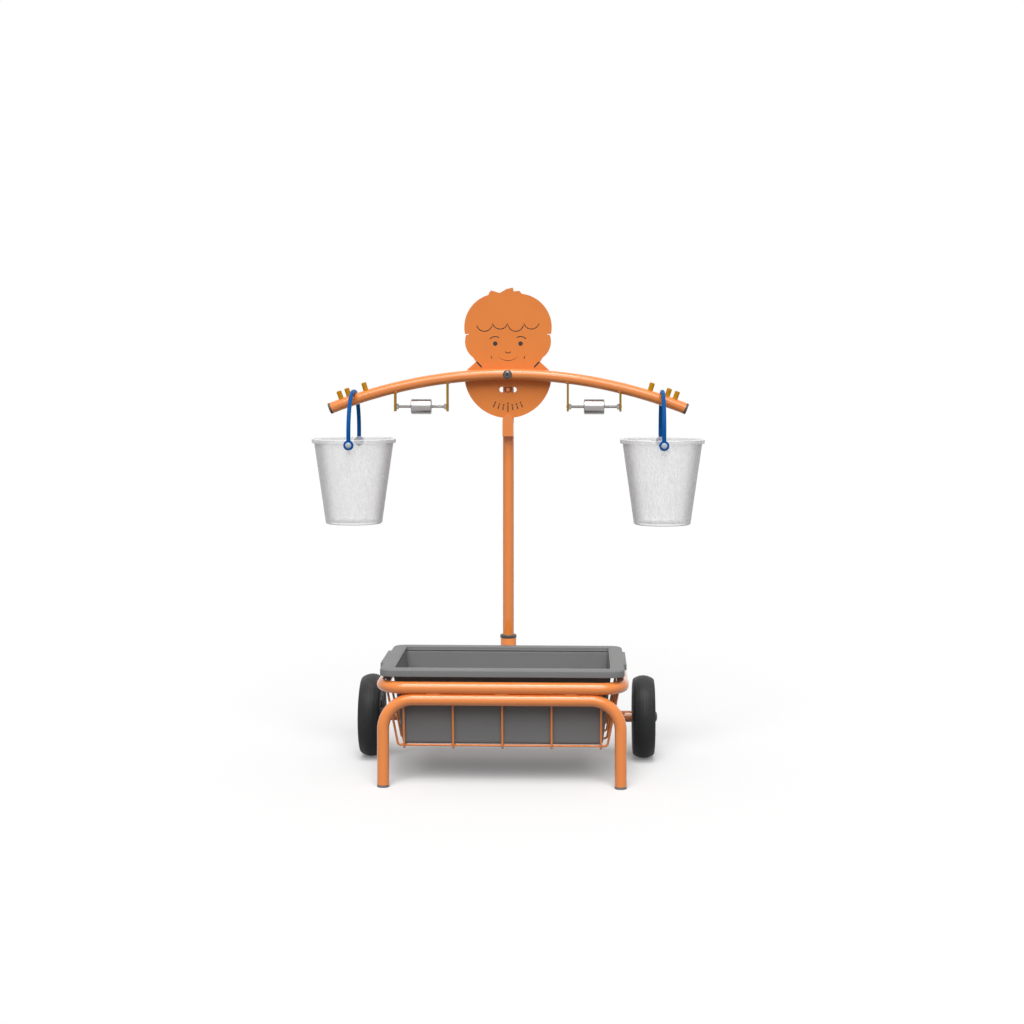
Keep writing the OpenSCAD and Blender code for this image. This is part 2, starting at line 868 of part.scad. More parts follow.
// Engraved face: fringe in scallops, round eyes, nose, smile and chin line
module face_lines() {
    for (i = [0 : 3])
        translate([-63 + 42 * i, 136 + (i % 2) * 6]) arc_line(21, 2.4, 196, 344);
    for (s = [-1, 1])
        translate([s * 34, 82]) {
            circle(d = 12);
            arc_line(19, 2.6, 50 - s * 8, 130 - s * 8);
        }
    translate([0, 66]) arc_line(9, 2.4, 215, 325);
    difference() {
        translate([0, 72]) circle(r = 36);
        translate([0, 76]) circle(r = 38.5);
    }
    for (s = [-1, 1])
        translate([s * 37, 48]) arc_line(8, 2.2, 90 - s * 110 - 30, 90 - s * 110 + 30);
    difference() {
        intersection() {
            translate([0, face_z]) circle(r = face_r);
            translate([-90, 12]) square([180, 22]);
        }
        translate([0, face_z + 3.4]) circle(r = face_r - 2);
        translate([-70, 0]) square([140, 60]);
    }
}

// Engraved scale: short strokes along an arc about the pivot
module scale_lines() {
    for (a = [-24 : 8 : 24])
        rotate(a) translate([0, -92]) {
            square([3, a == 0 ? 18 : 10], center = true);
            translate([0, a == 0 ? 14 : 9]) circle(d = 4.5);
        }
}

// One layer of the plate, from depth y0 to y1 behind its face
module plate_layer(y0, y1) {
    translate([0, plate_y + y1, pivot_z])
        facing() linear_extrude(y1 - y0) children();
}

module plate_front() {
    color(orange)
    plate_layer(0, skin_t)
    difference() {
        plate_outline();
        plate_holes();
        scale(drawing_scale) {
            face_lines();
            scale_lines();
        }
    }
}

module plate_core() {
    color(black)
    plate_layer(skin_t, plate_t - skin_t)
    difference() {
        plate_outline();
        plate_holes();
    }
}

module plate_back() {
    color(orange)
    plate_layer(plate_t - skin_t, plate_t)
    difference() {
        plate_outline();
        plate_holes();
    }
}

module plate_bosses() {
    color(orange)
    difference() {
        for (x = both(boss_x))
            along_y(x, pivot_z - boss_sag(), beam_y + tube_r - tube_wall - 1,
                plate_y, boss_d);
        for (x = both(boss_x))
            along_y(x, pivot_z - boss_sag(), beam_y, plate_y + 1,
                screw_d + 2 * run_fit);
    }
}

module plate_screws() {
    back = plate_y + plate_t;
    color(steel)
    for (x = both(boss_x)) {
        along_y(x, pivot_z - boss_sag(), beam_y + tube_r, back, screw_d);
        translate([x, back, pivot_z - boss_sag()])
            rotate([-90, 0, 0]) cylinder(h = 4, d1 = 13, d2 = 9);
    }
}

module hangers() {
    low = rod_z - 12.6;
    color(ochre)
    difference() {
        for (s = [-1, 1], x = both(hanger_span / 2)) {
            at = s * weight_x + x;
            top = pivot_z - beam_r + sqrt(beam_r * beam_r - at * at) - tube_r * 0.6;
            translate([at - hanger_t / 2, beam_y - hanger_w / 2, low])
                cube([hanger_t, hanger_w, top - low]);
        }
        beam_arc(tube_d - 2 * weld, 0, beam_half);
        for (s = [-1, 1])
            along_x(s * weight_x - hanger_span, s * weight_x + hanger_span,
                beam_y, rod_z, rod_d + 2 * run_fit);
    }
}

module weight_rods() {
    half = hanger_span / 2 + hanger_t / 2 + 1;
    color(steel)
    for (s = [-1, 1])
        along_x(s * weight_x - half, s * weight_x + half, beam_y, rod_z, rod_d);
}

module rod_nuts() {
    seat = hanger_span / 2 - hanger_t / 2;
    color(steel)
    for (s = [-1, 1], t = [-1, 1])
        translate([s * weight_x + t * (seat - nut_h / 2), beam_y, rod_z])
            rotate([0, 90, 0])
            difference() {
                cylinder(h = nut_h, d = nut_d * 2 / sqrt(3), center = true, $fn = 6);
                cylinder(h = 2 * nut_h, d = rod_d + 2 * run_fit, center = true);
            }
}

module weight(s) {
    edge = 2;
    color(steel)
    translate([s * weight_x, beam_y, rod_z])
        rotate([0, 90, 0])
        difference() {
            union() {
                cylinder(h = weight_l - 2 * edge, d = weight_d, center = true);
                for (m = [0, 1])
                    mirror([0, 0, m])
                        translate([0, 0, weight_l / 2 - edge])
                        cylinder(h = edge, d1 = weight_d, d2 = weight_d - 2 * edge);
            }
            cylinder(h = 2 * weight_l, d = rod_d + 2 * run_fit, center = true);
        }
}

module weight_left() {
    weight(-1);
}

module weight_right() {
    weight(1);
}

module handle(s) {
    color(blue)
    translate([s * bucket_x, beam_y, eye_z])
    difference() {
        union() {
            sideways()
                bent_bar([[-handle_r, 0], [-handle_r, grip_h], [handle_r, grip_h],
                    [handle_r, 0]], handle_r - grip_flat / 2, grip_d);
            for (y = both(handle_r))
                translate([0, y, 0])
                    rotate([90, 0, 0]) cylinder(h = eye_t, d = eye_d, center = true);
        }
        rotate([90, 0, 0])
            cylinder(h = 3 * handle_r, d = stud_d + 2 * run_fit, center = true);
        for (t = [0, 180])
            rotate([90, 0, t])
                translate([0, 0, handle_r + eye_t / 2])
                cylinder(h = grip_d, d = button_d + 4 * loose);
    }
}

module handle_left() {
    handle(-1);
}

module handle_right() {
    handle(1);
}

module bucket(s) {
    r_rim = bucket_d / 2;
    r_top = bucket_top_d / 2;
    r_low = bucket_low_d / 2;
    w = bucket_wall;
    base = 4;
    base_in = r_low - 8;
    color(frosted)
    translate([s * bucket_x, beam_y, bucket_floor_z])
    difference() {
        rotate_extrude($fn = 96)
            polygon([[0, base], [base_in, base], [base_in, 0], [r_low, 0],
                [r_top, bucket_h - w], [r_rim - w, bucket_h - w],
                [r_rim - w, bucket_h - lip_h], [r_rim, bucket_h - lip_h],
                [r_rim, bucket_h], [r_top - w, bucket_h],
                [r_low - w, base + w], [0, base + w]]);
        translate([0, 0, eye_z - bucket_floor_z])
            rotate([90, 0, 0])
            cylinder(h = 2 * bucket_d, d = stud_d + 2 * run_fit, center = true);
    }
}

module bucket_left() {
    bucket(-1);
}

module bucket_right() {
    bucket(1);
}

// Button and pin that hold the handle's eye to the bucket
module buttons(s) {
    inside = bucket_top_d / 2 - bucket_wall - 5;
    out = handle_r + eye_t / 2 + loose;
    color([0.8, 0.82, 0.85])
    for (t = [0, 180])
        translate([s * bucket_x, beam_y, eye_z])
            rotate([90, 0, t]) {
                translate([0, 0, inside]) cylinder(h = out - inside, d = stud_d);
                translate([0, 0, out]) cylinder(h = button_t, d1 = button_d,
                    d2 = button_d - 3);
                translate([0, 0, inside - 1]) cylinder(h = 2, d = stud_d + 4);
            }
}

module buttons_left() {
    buttons(-1);
}

module buttons_right() {
    buttons(1);
}

leg_hoop();
foot_caps();
ring_frame();
basket_long_wires();
basket_cross_wires();
axle_struts();
axle_tube();
axle_rod();
axle_caps();
socket_tube();
socket_collar();
lock_screw();
mast_tube();
mast_cap();
mast_sleeve();
stop_pin();
pointer();
pivot_bolt();
pivot_nut();
tub();
tyre_left();
tyre_right();
rim_left();
rim_right();
beam_tube();
beam_caps();
beam_pegs();
beam_sleeve();
plate_front();
plate_core();
plate_back();
plate_bosses();
plate_screws();
hangers();
weight_rods();
rod_nuts();
weight_left();
weight_right();
handle_left();
handle_right();
bucket_left();
bucket_right();
buttons_left();
buttons_right();
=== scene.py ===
"""Looks of a child's weighing cart: a beam with two buckets on a mast, over a tub in a wire basket.

Lengths are metres in the frame's own axes: X to the right, Y to the back, Z up. Every sub-assembly is a
class that holds its own sizes, works its surfaces out as whole arrays and dresses them in its finishes.
"""

import logging
import math
from collections.abc import Callable
from dataclasses import dataclass, field
from enum import Enum

import bmesh
import bpy
import numpy as np
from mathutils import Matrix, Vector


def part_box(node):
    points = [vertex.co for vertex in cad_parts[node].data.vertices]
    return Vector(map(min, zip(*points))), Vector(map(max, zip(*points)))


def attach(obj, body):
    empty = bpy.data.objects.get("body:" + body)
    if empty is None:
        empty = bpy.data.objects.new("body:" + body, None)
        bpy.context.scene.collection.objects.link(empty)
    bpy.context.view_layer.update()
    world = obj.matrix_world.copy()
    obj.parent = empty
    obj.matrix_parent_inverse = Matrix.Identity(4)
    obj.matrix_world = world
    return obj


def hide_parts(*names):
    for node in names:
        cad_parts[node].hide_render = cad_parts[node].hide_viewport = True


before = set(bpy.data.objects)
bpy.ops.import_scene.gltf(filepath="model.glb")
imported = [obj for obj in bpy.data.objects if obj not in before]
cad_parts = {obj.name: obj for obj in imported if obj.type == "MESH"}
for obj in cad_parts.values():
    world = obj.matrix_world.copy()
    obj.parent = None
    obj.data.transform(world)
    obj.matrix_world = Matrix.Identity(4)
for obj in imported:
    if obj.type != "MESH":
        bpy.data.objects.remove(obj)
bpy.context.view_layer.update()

LOG = logging.getLogger("weighing_cart")
MM = 0.001
Array = np.ndarray
Colour = tuple[float, float, float]
Pairs = tuple[tuple[float, float], ...]


class Axis(Enum):
    """Direction of a turned piece; the value is how far its own axes roll to lie along it."""

    Z = 0
    X = 1
    Y = 2


class Side(Enum):
    """Left or right half of the cart; the value is the sign of X."""

    LEFT = -1
    RIGHT = 1

    @property
    def tag(self) -> str:
        """Ending of the names on this side."""
        return self.name.lower()


def unit(vectors: Array) -> Array:
    """Vectors brought to length one along their last axis."""
    return vectors / np.maximum(np.linalg.norm(vectors, axis=-1, keepdims=True), 1e-12)


def angles(count: int) -> Array:
    """Angles of equal steps round one turn."""
    return np.arange(count) * 2 * np.pi / count


def span(node: str) -> tuple[Array, Array]:
    """Lowest and highest corner of a CAD node at rest."""
    low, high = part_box(node)
    return np.array(low), np.array(high)


def middle(node: str) -> Array:
    """Middle of a CAD node's box at rest."""
    low, high = span(node)
    return (low + high) / 2


def mirrored(half: list | Array) -> Array:
    """Line of (radius, height) points followed by its mirror image below height 0, back to its start."""
    half = np.asarray(half, float)
    return np.concatenate([half, (half * [1, -1])[::-1]])


def circle(radius: float, count: int) -> Array:
    """Section of a round bar: radius * (cos a, sin a)."""
    a = angles(count)
    return radius * np.stack([np.cos(a), np.sin(a)], -1)


def rounded(
    corners: Array | list, bend: float | Array, steps: int = 8, closed: bool = False
) -> tuple[Array, Array]:
    """Line through corners with an arc at each of them, in two or three dimensions.

    Between unit directions u and v that turn by the angle t, the arc starts bend * tan(t / 2) before the
    corner. Its point at angle a is start + bend * (sin a * u + (1 - cos a) * n), with n the unit vector
    across u towards v.

    Args:
        corners: the corners, one per row.
        bend: radius of all arcs, or of each one.
        steps: steps along an arc.
        closed: whether the line returns to its start; otherwise its two ends keep their corners.

    Returns:
        The points and the unit tangents there.
    """
    corners = np.asarray(corners, float)
    before, after = np.roll(corners, 1, 0), np.roll(corners, -1, 0)
    inner = slice(None) if closed else slice(1, -1)
    at = corners[inner]
    u, v = unit(at - before[inner]), unit(after[inner] - at)
    cosine = np.clip((u * v).sum(-1, keepdims=True), -1, 1)
    turn = np.arccos(cosine)
    n = unit(v - cosine * u)
    bend = np.broadcast_to(np.asarray(bend, float).reshape(-1, 1), turn.shape)
    start = at - bend * np.tan(turn / 2) * u
    a = (turn * np.linspace(0, 1, steps + 1))[..., None]
    points = start[:, None] + bend[:, None] * (np.sin(a) * u[:, None] + (1 - np.cos(a)) * n[:, None])
    tangents = np.cos(a) * u[:, None] + np.sin(a) * n[:, None]
    points, tangents = (x.reshape(-1, corners.shape[1]) for x in (points, tangents))
    if not closed:
        points = np.concatenate([corners[:1], points, corners[-1:]])
        tangents = np.concatenate([tangents[:1], tangents, tangents[-1:]])
    return points, tangents


def swept(path: Array, tangent: Array, up: Array, section: Array, scale: Array | float = 1.0) -> Array:
    """Section carried along a path.

    Point (i, j) is path_i + scale_i * (section_j.x * side_i + section_j.y * lift_i), where side_i is
    tangent_i x up_i and lift_i is side_i x tangent_i.
    """
    side = unit(np.cross(tangent, up))
    lift = np.cross(side, tangent)
    size = np.broadcast_to(scale, len(path))[:, None, None]
    flat = section[None] * size
    return path[:, None] + flat[..., :1] * side[:, None] + flat[..., 1:] * lift[:, None]


def turned(radius: Array, height: Array, centre: Array, axis: Axis = Axis.Z, count: int = 64) -> Array:
    """Surface of revolution, or near it.

    Point (i, j) is centre + radius_ij * (cos a_j, sin a_j) across the axis + height_ij along it.

    Args:
        radius: distance from the axis, one per row or one per row and column.
        height: place along the axis, in the same form.
        centre: point on the axis at height 0.
        axis: direction of the axis.
        count: columns round the axis.

    Returns:
        Grid of points.
    """
    given = (np.asarray(radius, float), np.asarray(height, float))
    r, h = (x[:, None] if x.ndim == 1 else x for x in given)
    r, h, a = np.broadcast_arrays(r, h, angles(count)[None])
    local = np.stack([r * np.cos(a), r * np.sin(a), h], -1)
    return np.roll(local, axis.value, axis=-1) + np.asarray(centre, float)


def lathe(
    corners: list | Array, bend: float | Array, steps: int, centre: Array, axis: Axis = Axis.Z,
    count: int = 64, closed: bool = False, sign: int = 1,
) -> Array:
    """Surface of revolution of a line of (radius, height) corners with an arc at each of them.

    Args:
        corners: the line's corners.
        bend: radius of all arcs, or of each one.
        steps: steps along an arc.
        centre: point on the axis at height 0.
        axis: direction of the axis.
        count: columns round the axis.
        closed: whether the line returns to its start.
        sign: 1, or -1 where the heights run the other way.

    Returns:
        Grid of points.
    """
    line, _ = rounded(corners, bend, steps, closed)
    return turned(line[:, 0], sign * line[:, 1], centre, axis, count)


def stacked(
    half_x: Array, half_y: Array, corner: Array, height: Array, centre: Array, steps: int = 10
) -> Array:
    """Stack of rounded rectangles.

    On row i, the corner with signs (sx, sy) has the points (sx * (half_x_i - r_i) + r_i * cos a,
    sy * (half_y_i - r_i) + r_i * sin a, height_i) over its quarter turn.
    """
    quarter = np.arange(4)[:, None]
    a = ((quarter + np.linspace(0, 1, steps + 1)) * np.pi / 2)[None]
    sx, sy = (s[None, :, None] for s in (np.array([1, -1, -1, 1]), np.array([1, 1, -1, -1])))
    hx, hy, r, z = (np.asarray(x, float)[:, None, None] for x in (half_x, half_y, corner, height))
    x = sx * (hx - r) + r * np.cos(a)
    y = sy * (hy - r) + r * np.sin(a)
    grid = np.stack([x, y, np.broadcast_to(z, x.shape)], -1)
    return grid.reshape(len(hx), -1, 3) + np.asarray(centre, float)


def hexagon(flats: float, count: int) -> Array:
    """Radius of a hexagon at each angle: half its width over flats / cos(angle from the side's middle)."""
    off = (angles(count) + np.pi / 6) % (np.pi / 3) - np.pi / 6
    return flats / 2 / np.cos(off)


class Shell:
    """Closed surfaces gathered into the mesh of one piece."""

    def __init__(self) -> None:
        """Starts with nothing in it."""
        self.points: list[Array] = []
        self.faces: list[list[int]] = []
        self.total = 0

    def add(self, grid: Array, closed_rows: bool = False) -> "Shell":
        """Adds a grid whose columns run round; its first and last rows are filled with flat faces.

        A quad joins the points (i, j), (i, j+1), (i+1, j+1), (i+1, j). The sum of the determinants of its
        two triangles gives the enclosed volume, whose sign says whether the faces have to be turned.

        Args:
            grid: points, rows by columns by 3.
            closed_rows: whether the last row joins the first, so that nothing is filled.

        Returns:
            This shell.
        """
        rows, columns = grid.shape[:2]
        i, j = np.meshgrid(np.arange(rows if closed_rows else rows - 1), np.arange(columns), indexing="ij")
        below, right = (i + 1) % rows, (j + 1) % columns
        corners = (i * columns + j, i * columns + right, below * columns + right, below * columns + j)
        quads = np.stack(corners, -1).reshape(-1, 4)
        ends = [] if closed_rows else [np.arange(columns)[::-1], np.arange(columns) + (rows - 1) * columns]
        flat = grid.reshape(-1, 3)
        p = flat - flat.mean(0)
        triangles = [quads[:, [0, 1, 2]], quads[:, [0, 2, 3]]]
        triangles += [np.stack([np.full(columns - 2, e[0]), e[1:-1], e[2:]], -1) for e in ends]
        t = p[np.concatenate(triangles)]
        turn = slice(None, None, -1) if np.linalg.det(t).sum() < 0 else slice(None)
        spread = [np.ptp(flat[e], axis=0).max() for e in ends]
        self.faces += (quads[:, turn] + self.total).tolist()
        self.faces += [(e[turn] + self.total).tolist() for e, wide in zip(ends, spread) if wide > 1e-7]
        self.points.append(flat)
        self.total += len(flat)
        return self

    def build(self, name: str, crease: float) -> bpy.types.Object:
        """Makes the object at the origin, with doubles merged and edges over the crease angle kept sharp."""
        mesh = bpy.data.meshes.new(name)
        mesh.from_pydata(np.concatenate(self.points).tolist(), [], self.faces)
        work = bmesh.new()
        work.from_mesh(mesh)
        bmesh.ops.remove_doubles(work, verts=work.verts, dist=1e-7)
        work.to_mesh(mesh)
        work.free()
        mesh.polygons.foreach_set("use_smooth", np.ones(len(mesh.polygons), bool))
        mesh.set_sharp_from_angle(angle=math.radians(crease))
        obj = bpy.data.objects.new(name, mesh)
        bpy.context.scene.collection.objects.link(obj)
        return obj


def bead(path: Array, up: Array, radius: float, closed: bool = True, ripple: float = 2.2 * MM) -> Array:
    """Weld bead along a path: a round bar of radius * (0.86 + 0.14 * |sin(pi s / ripple)|) at length s.

    An open bead also tapers to its ends by the square root of 1 - (2 s / length - 1) ** 4.
    """
    ahead = np.roll(path, -1, 0) - np.roll(path, 1, 0)
    if not closed:
        ahead[[0, -1]] = path[1] - path[0], path[-1] - path[-2]
    step = np.linalg.norm(np.diff(path, axis=0), axis=-1)
    s = np.concatenate([[0.0], np.cumsum(step)])
    scale = 0.86 + 0.14 * np.abs(np.sin(np.pi * s / ripple))
    if not closed:
        scale *= np.sqrt(np.clip(1 - (2 * s / s[-1] - 1) ** 4, 0.05, 1))
    return swept(path, unit(ahead), up, circle(radius, 10), scale)


def saddle(centre: Array, along: Array, outline: Array, tube_r: float, radius: float) -> Array:
    """Weld round a branch that meets a tube along X.

    Path point k is centre + outline_k.x * X + outline_k.y * across + sqrt(tube_r ** 2 - outline_k.y ** 2)
    * along, with across = X x along.
    """
    x_axis = np.array([1.0, 0.0, 0.0])
    along = unit(np.asarray(along, float))
    across = np.cross(x_axis, along)
    u, v = outline[:, :1], outline[:, 1:]
    path = centre + u * x_axis + v * across + np.sqrt(tube_r**2 - v**2) * along
    return bead(path, np.broadcast_to(along, path.shape), radius)


def ball(centre: Array, size: Array, count: int = 12) -> Array:
    """Ellipsoid: half sizes times (sin b cos a, sin b sin a, cos b)."""
    b = np.linspace(0, np.pi, count // 2 + 1)
    return turned(np.sin(b), np.cos(b), np.zeros(3), count=count) * size + centre


def nut(flats: float, height: float, bore: float, centre: Array, axis: Axis, count: int = 48) -> Array:
    """Hexagon nut: at each height its radius is the smaller of the hexagon's and the chamfer cone's."""
    rim = 0.12 * height
    cone = flats / 2 * np.array([0.96, 1.08, 1.3, 1.3, 1.08, 0.96])[:, None]
    z = np.array([0, 0.4 * rim, rim, height - rim, height - 0.4 * rim, height]) - height / 2
    r = np.minimum(hexagon(flats, count)[None], cone)
    hole = np.full((1, count), bore / 2)
    r = np.concatenate([hole, r, hole])
    return turned(r, np.concatenate([z[:1], z, z[-1:]]), centre, axis, count)


def socket_head(
    radius: float, height: float, key: float, centre: Array, axis: Axis, sign: int = 1
) -> Array:
    """Domed screw head with a hexagon socket, from its seat outwards.

    The dome is (radius * cos t, 0.2 * height + 0.8 * height * sin t); the socket has a hexagon's radius.
    """
    count = 48
    mouth_r = 0.62 * key
    t = np.linspace(0, np.arccos(mouth_r / radius), 10)
    r = np.concatenate([[radius], radius * np.cos(t)])
    z = np.concatenate([[0.0], height * (0.2 + 0.8 * np.sin(t))])
    r = np.broadcast_to(r[:, None], (len(r), count))
    key_r = hexagon(key, count)[None]
    r = np.concatenate([r, key_r, key_r, np.zeros((1, count))])
    lip, corner, middle = z[-1] - 0.02 * height, 0.35 * height, 0.3 * height
    z = np.concatenate([z, [lip, corner, middle]])
    return turned(r, sign * z, centre, axis, count)


def threaded(radius: float, length: float, pitch: float, depth: float, centre: Array, axis: Axis) -> Array:
    """Threaded rod: radius - depth * |2 * frac(h / pitch - a / 2 pi) - 1| at height h and angle a.

    The last half pitch at each end narrows to a chamfer.
    """
    count = 20
    h = np.linspace(-length / 2, length / 2, round(length / pitch) * 6)
    wave = np.abs(2 * ((h[:, None] / pitch - angles(count)[None] / (2 * np.pi)) % 1) - 1)
    room = (length / 2 - np.abs(h)) / (pitch / 2)
    r = (radius - depth * wave) * (0.8 + 0.2 * np.clip(room, 0, 1))[:, None]
    return turned(r, h, centre, axis, count)


def holed_disc(inner: float, outer: float, hole: float, ring_r: float, thick: float, count: int) -> Array:
    """Sectors of a flat ring with one round hole each, as one grid of points per sector.

    A sector's edge is sampled as a loop of points B. The hole's point that faces B is C + hole * (B - C) /
    |B - C|, with C the hole's centre, and rows run from the front edge to the hole, through it, and back.

    Args:
        inner: inner radius of the ring.
        outer: outer radius of the ring.
        hole: radius of the holes.
        ring_r: radius of the circle that the holes' centres lie on.
        thick: thickness of the ring.
        count: number of sectors.

    Returns:
        Array of sectors by rows by columns by 3, with its axis along Z.
    """
    half, sides, arcs = np.pi / count, 8, 16
    step = (outer - inner) / sides
    across = np.linspace(inner, outer, sides + 1)[:-1]
    arc = np.linspace(-half, half, arcs + 1)[:-1]
    radii = np.concatenate([np.full(arcs, outer), across[::-1] + step, np.full(arcs, inner), across])
    turn = np.concatenate([arc, np.full(sides, half), -arc, np.full(sides, -half)])
    edge = radii[:, None] * np.stack([np.cos(turn), np.sin(turn)], -1)
    middle = np.array([ring_r, 0.0])
    mouth = middle + hole * unit(edge - middle)
    lip = middle + 1.12 * hole * unit(edge - middle)
    rows = [(edge, 0.5), (lip, 0.5), (mouth, 0.42), (mouth, -0.42), (lip, -0.5), (edge, -0.5)]
    flat = np.stack([np.concatenate([p, np.full((len(p), 1), z * thick)], -1) for p, z in rows])
    spin = angles(count)
    c, s = np.cos(spin)[:, None, None], np.sin(spin)[:, None, None]
    return np.stack([c * flat[..., 0] - s * flat[..., 1], s * flat[..., 0] + c * flat[..., 1],
                     np.broadcast_to(flat[..., 2], (count, *flat.shape[:2]))], -1)


class Graph:
    """Short hand for adding nodes to one node tree."""

    def __init__(self, tree: bpy.types.NodeTree) -> None:
        """Works on the given tree."""
        self.tree = tree

    def add(self, kind: str, sockets: dict | None = None, **settings: object) -> bpy.types.Node:
        """Adds a node.

        Args:
            kind: the node's type, without the words ShaderNode.
            sockets: values, or output sockets to link, by the names or numbers of inputs.
            settings: properties of the node.

        Returns:
            The node.
        """
        made = self.tree.nodes.new(kind if kind.startswith("Node") else "ShaderNode" + kind)
        for key, value in settings.items():
            setattr(made, key, value)
        for key, value in (sockets or {}).items():
            if isinstance(value, bpy.types.NodeSocket):
                self.tree.links.new(value, made.inputs[key])
            else:
                made.inputs[key].default_value = value
        return made

    def math(self, operation: str, *values: object, clamp: bool = False) -> bpy.types.NodeSocket:
        """Result of a Math node on the values."""
        return self.add("Math", dict(enumerate(values)), operation=operation, use_clamp=clamp).outputs[0]

    def remap(
        self, value: object, low: float, high: float, to_low: object, to_high: object
    ) -> bpy.types.NodeSocket:
        """The value carried smoothly from low..high to to_low..to_high."""
        sockets = {"Value": value, "From Min": low, "From Max": high, "To Min": to_low, "To Max": to_high}
        return self.add("MapRange", sockets, interpolation_type="SMOOTHSTEP").outputs["Result"]

    def mix(self, factor: object, first: object, second: object) -> bpy.types.NodeSocket:
        """Colour mixed from first to second."""
        return self.add("Mix", {"Factor": factor, 6: first, 7: second}, data_type="RGBA").outputs[2]

    def noise(
        self, vector: object, size: object, detail: float = 2.0, rough: float = 0.5
    ) -> bpy.types.NodeSocket:
        """Noise from 0 to 1 whose lumps are about size metres wide."""
        scale = self.math("DIVIDE", 1.0, size)
        sockets = {"Vector": vector, "Scale": scale, "Detail": detail, "Roughness": rough}
        return self.add("TexNoise", sockets).outputs["Fac"]


class Effect:
    """A shader node group that several finishes share, built once and placed with its own values."""

    made: dict[str, bpy.types.NodeTree] = {}

    def __init__(
        self, name: str, inputs: dict[str, object], draw: Callable, outputs: dict[str, str] | None = None
    ) -> None:
        """Names the group, its inputs with their defaults, its maker, and its outputs with their kinds.

        Args:
            name: name of the node group.
            inputs: default values by the names of the inputs.
            draw: function that adds the nodes and returns the outputs' sockets by name.
            outputs: kinds by the names of the outputs, or one mask where nothing is given.
        """
        self.name, self.inputs, self.draw = name, inputs, draw
        self.outputs = outputs or {"Mask": "Float"}

    def tree(self) -> bpy.types.NodeTree:
        """The group, made on first use."""
        if self.name in self.made:
            return self.made[self.name]
        tree = bpy.data.node_groups.new(self.name, "ShaderNodeTree")
        for name, value in self.inputs.items():
            kind = "NodeSocketVector" if isinstance(value, tuple) else "NodeSocketFloat"
            tree.interface.new_socket(name, in_out="INPUT", socket_type=kind).default_value = value
        for name, kind in self.outputs.items():
            tree.interface.new_socket(name, in_out="OUTPUT", socket_type="NodeSocket" + kind)
        graph = Graph(tree)
        given = graph.add("NodeGroupInput").outputs
        place = graph.add("TexCoord").outputs["Object"]
        graph.add("NodeGroupOutput", self.draw(graph, given, place))
        self.made[self.name] = tree
        return tree

    def place(self, graph: Graph, **values: object) -> bpy.types.NodeOutputs:
        """Outputs of a copy of the group set with these values."""
        sockets = {key.capitalize(): value for key, value in values.items()}
        return graph.add("Group", sockets, node_tree=self.tree()).outputs


def draw_peel(graph: Graph, given: object, place: object) -> dict:
    """Two sizes of noise as a height: the skin of sprayed powder or a moulded grain."""
    broad = graph.noise(place, given["Size"])
    fine = graph.noise(place, graph.math("MULTIPLY", given["Size"], 0.3), detail=1.0)
    height = graph.math("ADD", broad, graph.math("MULTIPLY", fine, 0.35))
    bump = graph.add("Bump", {"Height": height, "Distance": given["Depth"], "Strength": 1.0})
    return {"Mask": fine, "Normal": bump.outputs["Normal"]}


def draw_cloud(graph: Graph, given: object, place: object) -> dict:
    """Broad soft patches, where the colour or the gloss of a surface drifts a little."""
    patches = graph.noise(place, given["Size"], detail=4.0, rough=0.6)
    return {"Mask": graph.math("MULTIPLY", graph.remap(patches, 0.38, 0.66, 0.0, 1.0), given["Amount"])}


def draw_edge_wear_and_highlight(graph: Graph, given: object, place: object) -> dict:
    """Edges, where the normal rounded over a small radius leaves the true one, broken up by noise: rubbed
    wear and painted highlight along edges.
    """
    soft = graph.add("Bevel", {"Radius": given["Radius"]}, samples=4).outputs["Normal"]
    true = graph.add("NewGeometry").outputs["Normal"]
    dot = graph.add("VectorMath", {0: soft, 1: true}, operation="DOT_PRODUCT").outputs["Value"]
    edge_share = graph.remap(dot, 0.99, 0.86, 0.0, 1.0)
    broken = graph.remap(graph.noise(place, 4 * MM, detail=4.0), 0.35, 0.6, 0.25, 1.0)
    return {"Mask": graph.math("MULTIPLY", graph.math("MULTIPLY", edge_share, broken), given["Amount"])}


def draw_dust(graph: Graph, given: object, place: object) -> dict:
    """Fine dust on what faces up, in patches and specks."""
    normal = graph.add("NewGeometry").outputs["Normal"]
    up = graph.add("SeparateXYZ", {0: normal}).outputs["Z"]
    lying = graph.remap(up, 0.35, 1.0, 0.0, 1.0)
    patches = graph.remap(graph.noise(place, 60 * MM, detail=5.0), 0.4, 0.7, 0.2, 1.0)
    specks = graph.remap(graph.noise(place, 1.6 * MM, detail=1.0), 0.62, 0.72, 0.0, 1.0)
    total = graph.math("MULTIPLY", lying, graph.math("ADD", patches, specks))
    return {"Mask": graph.math("MULTIPLY", total, given["Amount"], clamp=True)}


def draw_hollow_shade(graph: Graph, given: object, place: object) -> dict:
    """Painted shade in hollows, where what lies within reach shuts out the light, broken up by noise."""
    open_share = graph.add("AmbientOcclusion", {"Distance": given["Reach"]}, samples=8).outputs["AO"]
    hollow = graph.remap(open_share, 0.85, 0.5, 0.0, 1.0)
    broken = graph.remap(graph.noise(place, 2 * MM), 0.3, 0.6, 0.8, 1.0)
    return {"Mask": graph.math("MULTIPLY", graph.math("MULTIPLY", hollow, broken), given["Amount"])}


def draw_streak(graph: Graph, given: object, place: object) -> dict:
    """Brushed or turned lines: noise that is drawn out by the stretch of each axis."""
    drawn = graph.add("VectorMath", {0: place, 1: given["Stretch"]}, operation="MULTIPLY").outputs["Vector"]
    lines = graph.add("TexNoise", {"Vector": drawn, "Scale": 1.0, "Detail": 3.0}).outputs["Fac"]
    bump = graph.add("Bump", {"Height": lines, "Distance": given["Depth"], "Strength": 1.0})
    return {"Mask": lines, "Normal": bump.outputs["Normal"]}


